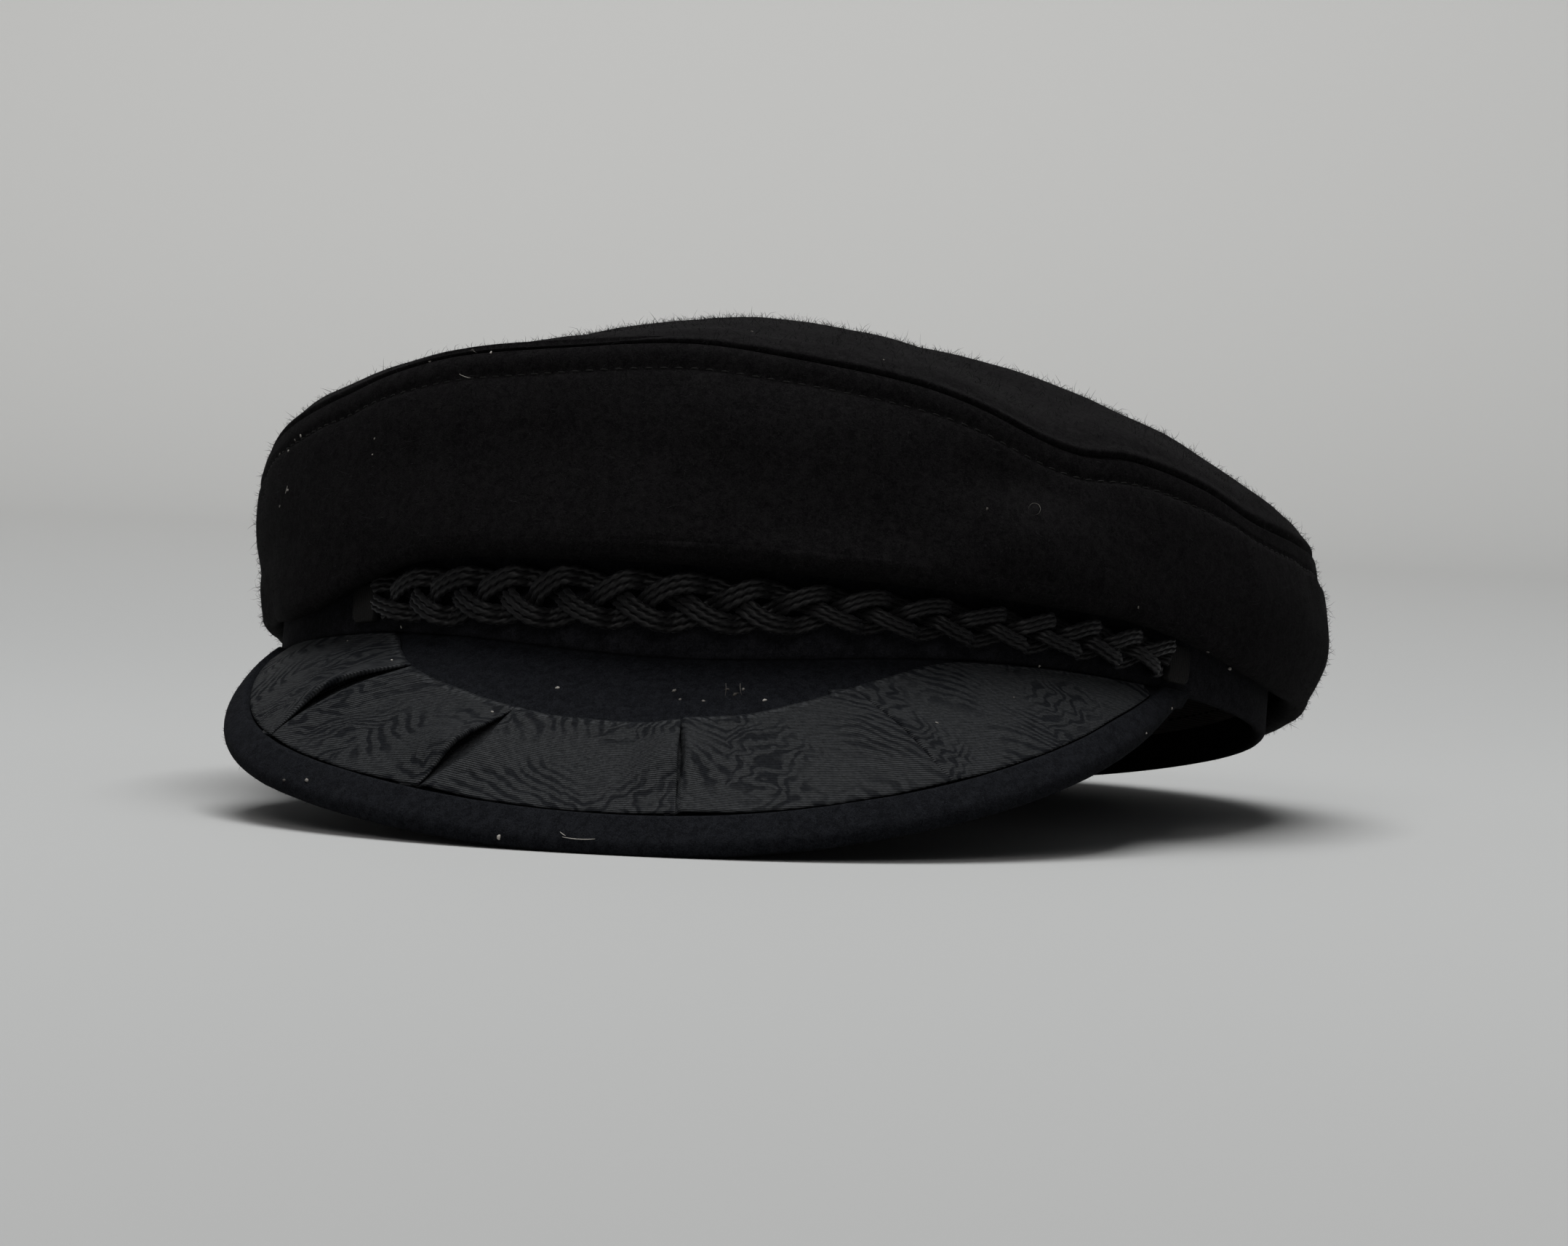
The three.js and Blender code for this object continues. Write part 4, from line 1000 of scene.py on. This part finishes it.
bend = np.linspace(0, math.pi / 2, 24)
line = [(FLOOR_FAR + SWEEP * math.sin(turn), SWEEP * (1 - math.cos(turn))) for turn in bend]
line = [(FLOOR_NEAR, 0.0), *line, (FLOOR_FAR + SWEEP, WALL_HIGH)]
sheet = bpy.data.meshes.new("studio_sheet")
places = [(x, y, z) for x in (-FLOOR_WIDE / 2, FLOOR_WIDE / 2) for y, z in line]
sheet.from_pydata(places, [], patches(2, len(line), False, False).tolist())
sheet.shade_smooth()
paper, shader, add = cloth_material("pale_paper")
plug(shader, {"Base Color": (0.36, 0.36, 0.354, 1), "Roughness": 0.95, "Specular IOR Level": 0.1})
sheet.materials.append(paper)
studio_sheet = bpy.data.objects.new("studio_sheet", sheet)
bpy.context.scene.collection.objects.link(studio_sheet)

# Light: one broad soft panel straight overhead, a weak one from the front, and one turned to the
# backdrop and kept off the cap, in an even pale room.
world = bpy.data.worlds.new("pale_room")
world.use_nodes = True
plug(world.node_tree.nodes["Background"], {"Color": (0.93, 0.96, 1.0, 1), "Strength": 0.13})
bpy.context.scene.world = world
bpy.context.scene.view_settings.view_transform = "Standard"


def panel(name, place, aim, size, power, colour, spread=180):
    """A square soft light that shines within an angle of its aim."""
    light = bpy.data.lights.new(name, "AREA")
    light.size = size
    light.spread = math.radians(spread)
    light.energy = power
    light.color = colour
    lamp = bpy.data.objects.new(name, light)
    lamp.location = place
    lamp.rotation_euler = (Vector(aim) - Vector(place)).to_track_quat("-Z", "Y").to_euler()
    bpy.context.scene.collection.objects.link(lamp)


panel("overhead_panel", (0.0, 0.08, 1.7), (0, 0, 0), 1.3, 40, (0.98, 0.99, 1.0))
panel("front_panel", (0.0, -2.0, 1.3), (0, 0, 0.05), 0.9, 12, (1.0, 0.98, 0.97))
panel("backdrop_panel", (-0.5, 0.7, 2.3), (-0.7, 2.4, 0.8), 2.2, 22, (1.0, 0.99, 0.98), 80)

# Camera: at the photograph's angle to the cap. Its place is given in the cap's own frame, and comes
# out a little above the floor once the cap is tipped back.
PICTURE_WIDE, PICTURE_HIGH = 2156, 1713
FOCAL_PIXELS = 9250
SENSOR = 36.0
VIEW = dict(
    azimuth=12.4903, elevation=-7.4013, roll=4.1869, distance=1250.0, right=4.823, up=16.080,
)
VIEW_MIDDLE = np.array([-3.5, 0.0, 0.0])


def world_way(way):
    """A direction in the cap's own frame as it stands on the table."""
    return to_metres(np.asarray(way) * 1000) - to_metres([0, 0, 0])


around, rise, roll = (math.radians(VIEW[name]) for name in ("azimuth", "elevation", "roll"))
back = np.array([math.sin(around), -math.cos(around), 0.0]) * math.cos(rise)
back[2] = math.sin(rise)
level = np.array([math.cos(around), math.sin(around), 0.0])
upright = np.cross(back, level)
right = math.cos(roll) * level + math.sin(roll) * upright
up = math.cos(roll) * upright - math.sin(roll) * level
eye = to_metres(VIEW_MIDDLE + back * VIEW["distance"] + right * VIEW["right"] + up * VIEW["up"])
lens = bpy.data.cameras.new("camera")
lens.sensor_width = SENSOR
lens.lens = FOCAL_PIXELS / PICTURE_WIDE * SENSOR
lens.clip_start, lens.clip_end = 0.05, 20
camera = bpy.data.objects.new("camera", lens)
turned = Matrix(np.stack([world_way(way) for way in (right, up, back)], 1).tolist()).to_4x4()
camera.matrix_world = Matrix.Translation(Vector(eye)) @ turned
bpy.context.scene.collection.objects.link(camera)
bpy.context.scene.camera = camera

# Lint: pale specks, and short fibres of other cloth, caught in the nap of the wool. They lie where
# the photograph shows them: each is found along the line of sight through its place in the picture
# and rests on the piece that it meets there. Places are in pixels, sizes in millimetres.
SPECKS = table(
    "across down size",
    (650, 482, 0.7), (675, 485, 0.5), (591, 497, 0.5), (414, 599, 0.6), (406, 605, 0.5),
    (397, 620, 0.6), (385, 624, 0.4), (396, 674, 0.6), (385, 696, 0.5), (515, 603, 0.3),
    (512, 625, 0.3), (1357, 700, 0.6), (1565, 835, 0.5), (1690, 919, 1.1), (1661, 896, 0.7),
    (552, 862, 0.5), (478, 881, 0.4), (539, 908, 0.6), (677, 979, 0.6), (766, 946, 0.7),
    (927, 950, 0.8), (935, 962, 0.6), (967, 964, 0.6), (1000, 948, 0.7), (1011, 955, 0.8),
    (1022, 948, 0.7), (1051, 963, 0.7), (1429, 916, 0.6), (1394, 959, 0.4), (1288, 994, 0.5),
    (1611, 974, 0.5), (1576, 1008, 0.5), (1664, 976, 0.5), (391, 1073, 0.7), (422, 1073, 0.8),
    (686, 1151, 0.9), (1034, 456, 0.4), (1215, 495, 0.4),
)
FIBRES = table(
    "across down long turn curl thick",
    (632, 514, 2.4, 32, -30, 0.12), (1414, 700, 5.6, -80, 290, 0.03),
    (770, 1144, 1.3, 45, -20, 0.16), (773, 1151, 6.2, 12, -18, 0.17),
    (998, 940, 2.4, 84, 20, 0.12), (1018, 940, 2.2, 96, -25, 0.12), (644, 481, 1.6, 8, 15, 0.12),
    (396, 668, 1.5, 100, 10, 0.12), (1008, 953, 1.2, 5, 0, 0.12),
)
FIBRE_STEPS = 16

lint_cloth, shader, add = cloth_material("lint")
tone = between(add, noisy(add, own_place(add), 160, 1), 0.35, 0.65)
tone = blended(add, tone, (0.055, 0.050, 0.046, 1), (0.36, 0.34, 0.31, 1))
plug(shader, {"Base Color": tone, "Roughness": 0.8})

carriers = []
for carrier, slot in (
    (crown_side, "crown_wool"), (crown_tip, "crown_wool"), (headband, "band_wool"),
    (peak_board, "peak_wool"), (peak_rim, "peak_wool"), (peak_ribbon, "ribbon"),
):
    corners = [vertex.co for vertex in carrier.data.vertices]
    sides = [tuple(polygon.vertices) for polygon in carrier.data.polygons]
    carriers.append((BVHTree.FromPolygons(corners, sides), slot))
into_cap = np.array([world_way(way) for way in np.eye(3)])


def met_at(across, down):
    """The place and normal, in the cap's own frame, where a line of sight first meets the cap, and
    the slot of the piece that it meets; nothing where it misses."""
    across, down = across - PICTURE_WIDE / 2, down - PICTURE_HIGH / 2
    sight = right * across - up * down - back * FOCAL_PIXELS
    heading = Vector(world_way(sight)).normalized()
    hits = [(*tree.ray_cast(Vector(eye), heading), slot) for tree, slot in carriers]
    hits = [hit for hit in hits if hit[0] is not None]
    if not hits:
        return None
    place, normal, _, _, slot = min(hits, key=lambda hit: hit[3])
    facing = np.array(normal) if normal.dot(heading) < 0 else -np.array(normal)
    return into_cap @ (np.array(place) - to_metres([0, 0, 0])) * 1000, into_cap @ facing, slot


def speck(place, normal, size, rng):
    """An irregular flattened clump lying on the cloth."""
    level = unit(np.cross(normal, rng.normal(size=3)))
    aside = np.cross(normal, level)
    turn = np.arange(7) * 2 * math.pi / 7
    outline = np.cos(turn)[:, None] * level * 1.3 + np.sin(turn)[:, None] * aside * 0.8
    rings = []
    for height, wide in ((-0.12, 0.5), (0.05, 1.0), (0.25, 0.8), (0.36, 0.3)):
        radius = size / 2 * wide * rng.uniform(0.55, 1.25, 7)
        rings.append(place + outline * radius[:, None] + normal * size * height)
    return lofted(np.array(rings), False)


def fibre(across, down, long, turn, curl, thick):
    """A short fibre that follows the cloth from one place in the picture, curling as it goes, and
    the slot of the piece that it lies on."""
    places, normals, slot = [], [], None
    stride = long / FIBRE_STEPS * FOCAL_PIXELS / VIEW["distance"]
    for i in range(FIBRE_STEPS + 1):
        met = met_at(across, down)
        if met is None:
            break
        place, normal, slot = met
        places.append(place + normal * (thick * 0.6 + 0.04))
        normals.append(normal)
        heading = math.radians(turn + curl * i / FIBRE_STEPS)
        across, down = across + stride * math.cos(heading), down + stride * math.sin(heading)
    centre = np.array(places)
    along = unit(np.gradient(centre, axis=0))
    side = unit(np.cross(along, normals))
    thin = thick / 2 * np.sin(np.linspace(0.35, math.pi - 0.35, len(centre)))
    return tube(centre, side, np.cross(side, along), thin, 5), slot


rng = np.random.default_rng(21)
lint = {}
for across, down, size in zip(*SPECKS.values()):
    met = met_at(across, down)
    if met is not None:
        place, normal, slot = met
        lint.setdefault(slot, []).append(speck(place, normal, size, rng))
for row in zip(*FIBRES.values()):
    made, slot = fibre(*row)
    lint.setdefault(slot, []).append(made)
for slot, bits in lint.items():
    solid_piece(f"lint_on_{slot}", *joined(bits), lint_cloth, slot)

bpy.context.view_layer.update()
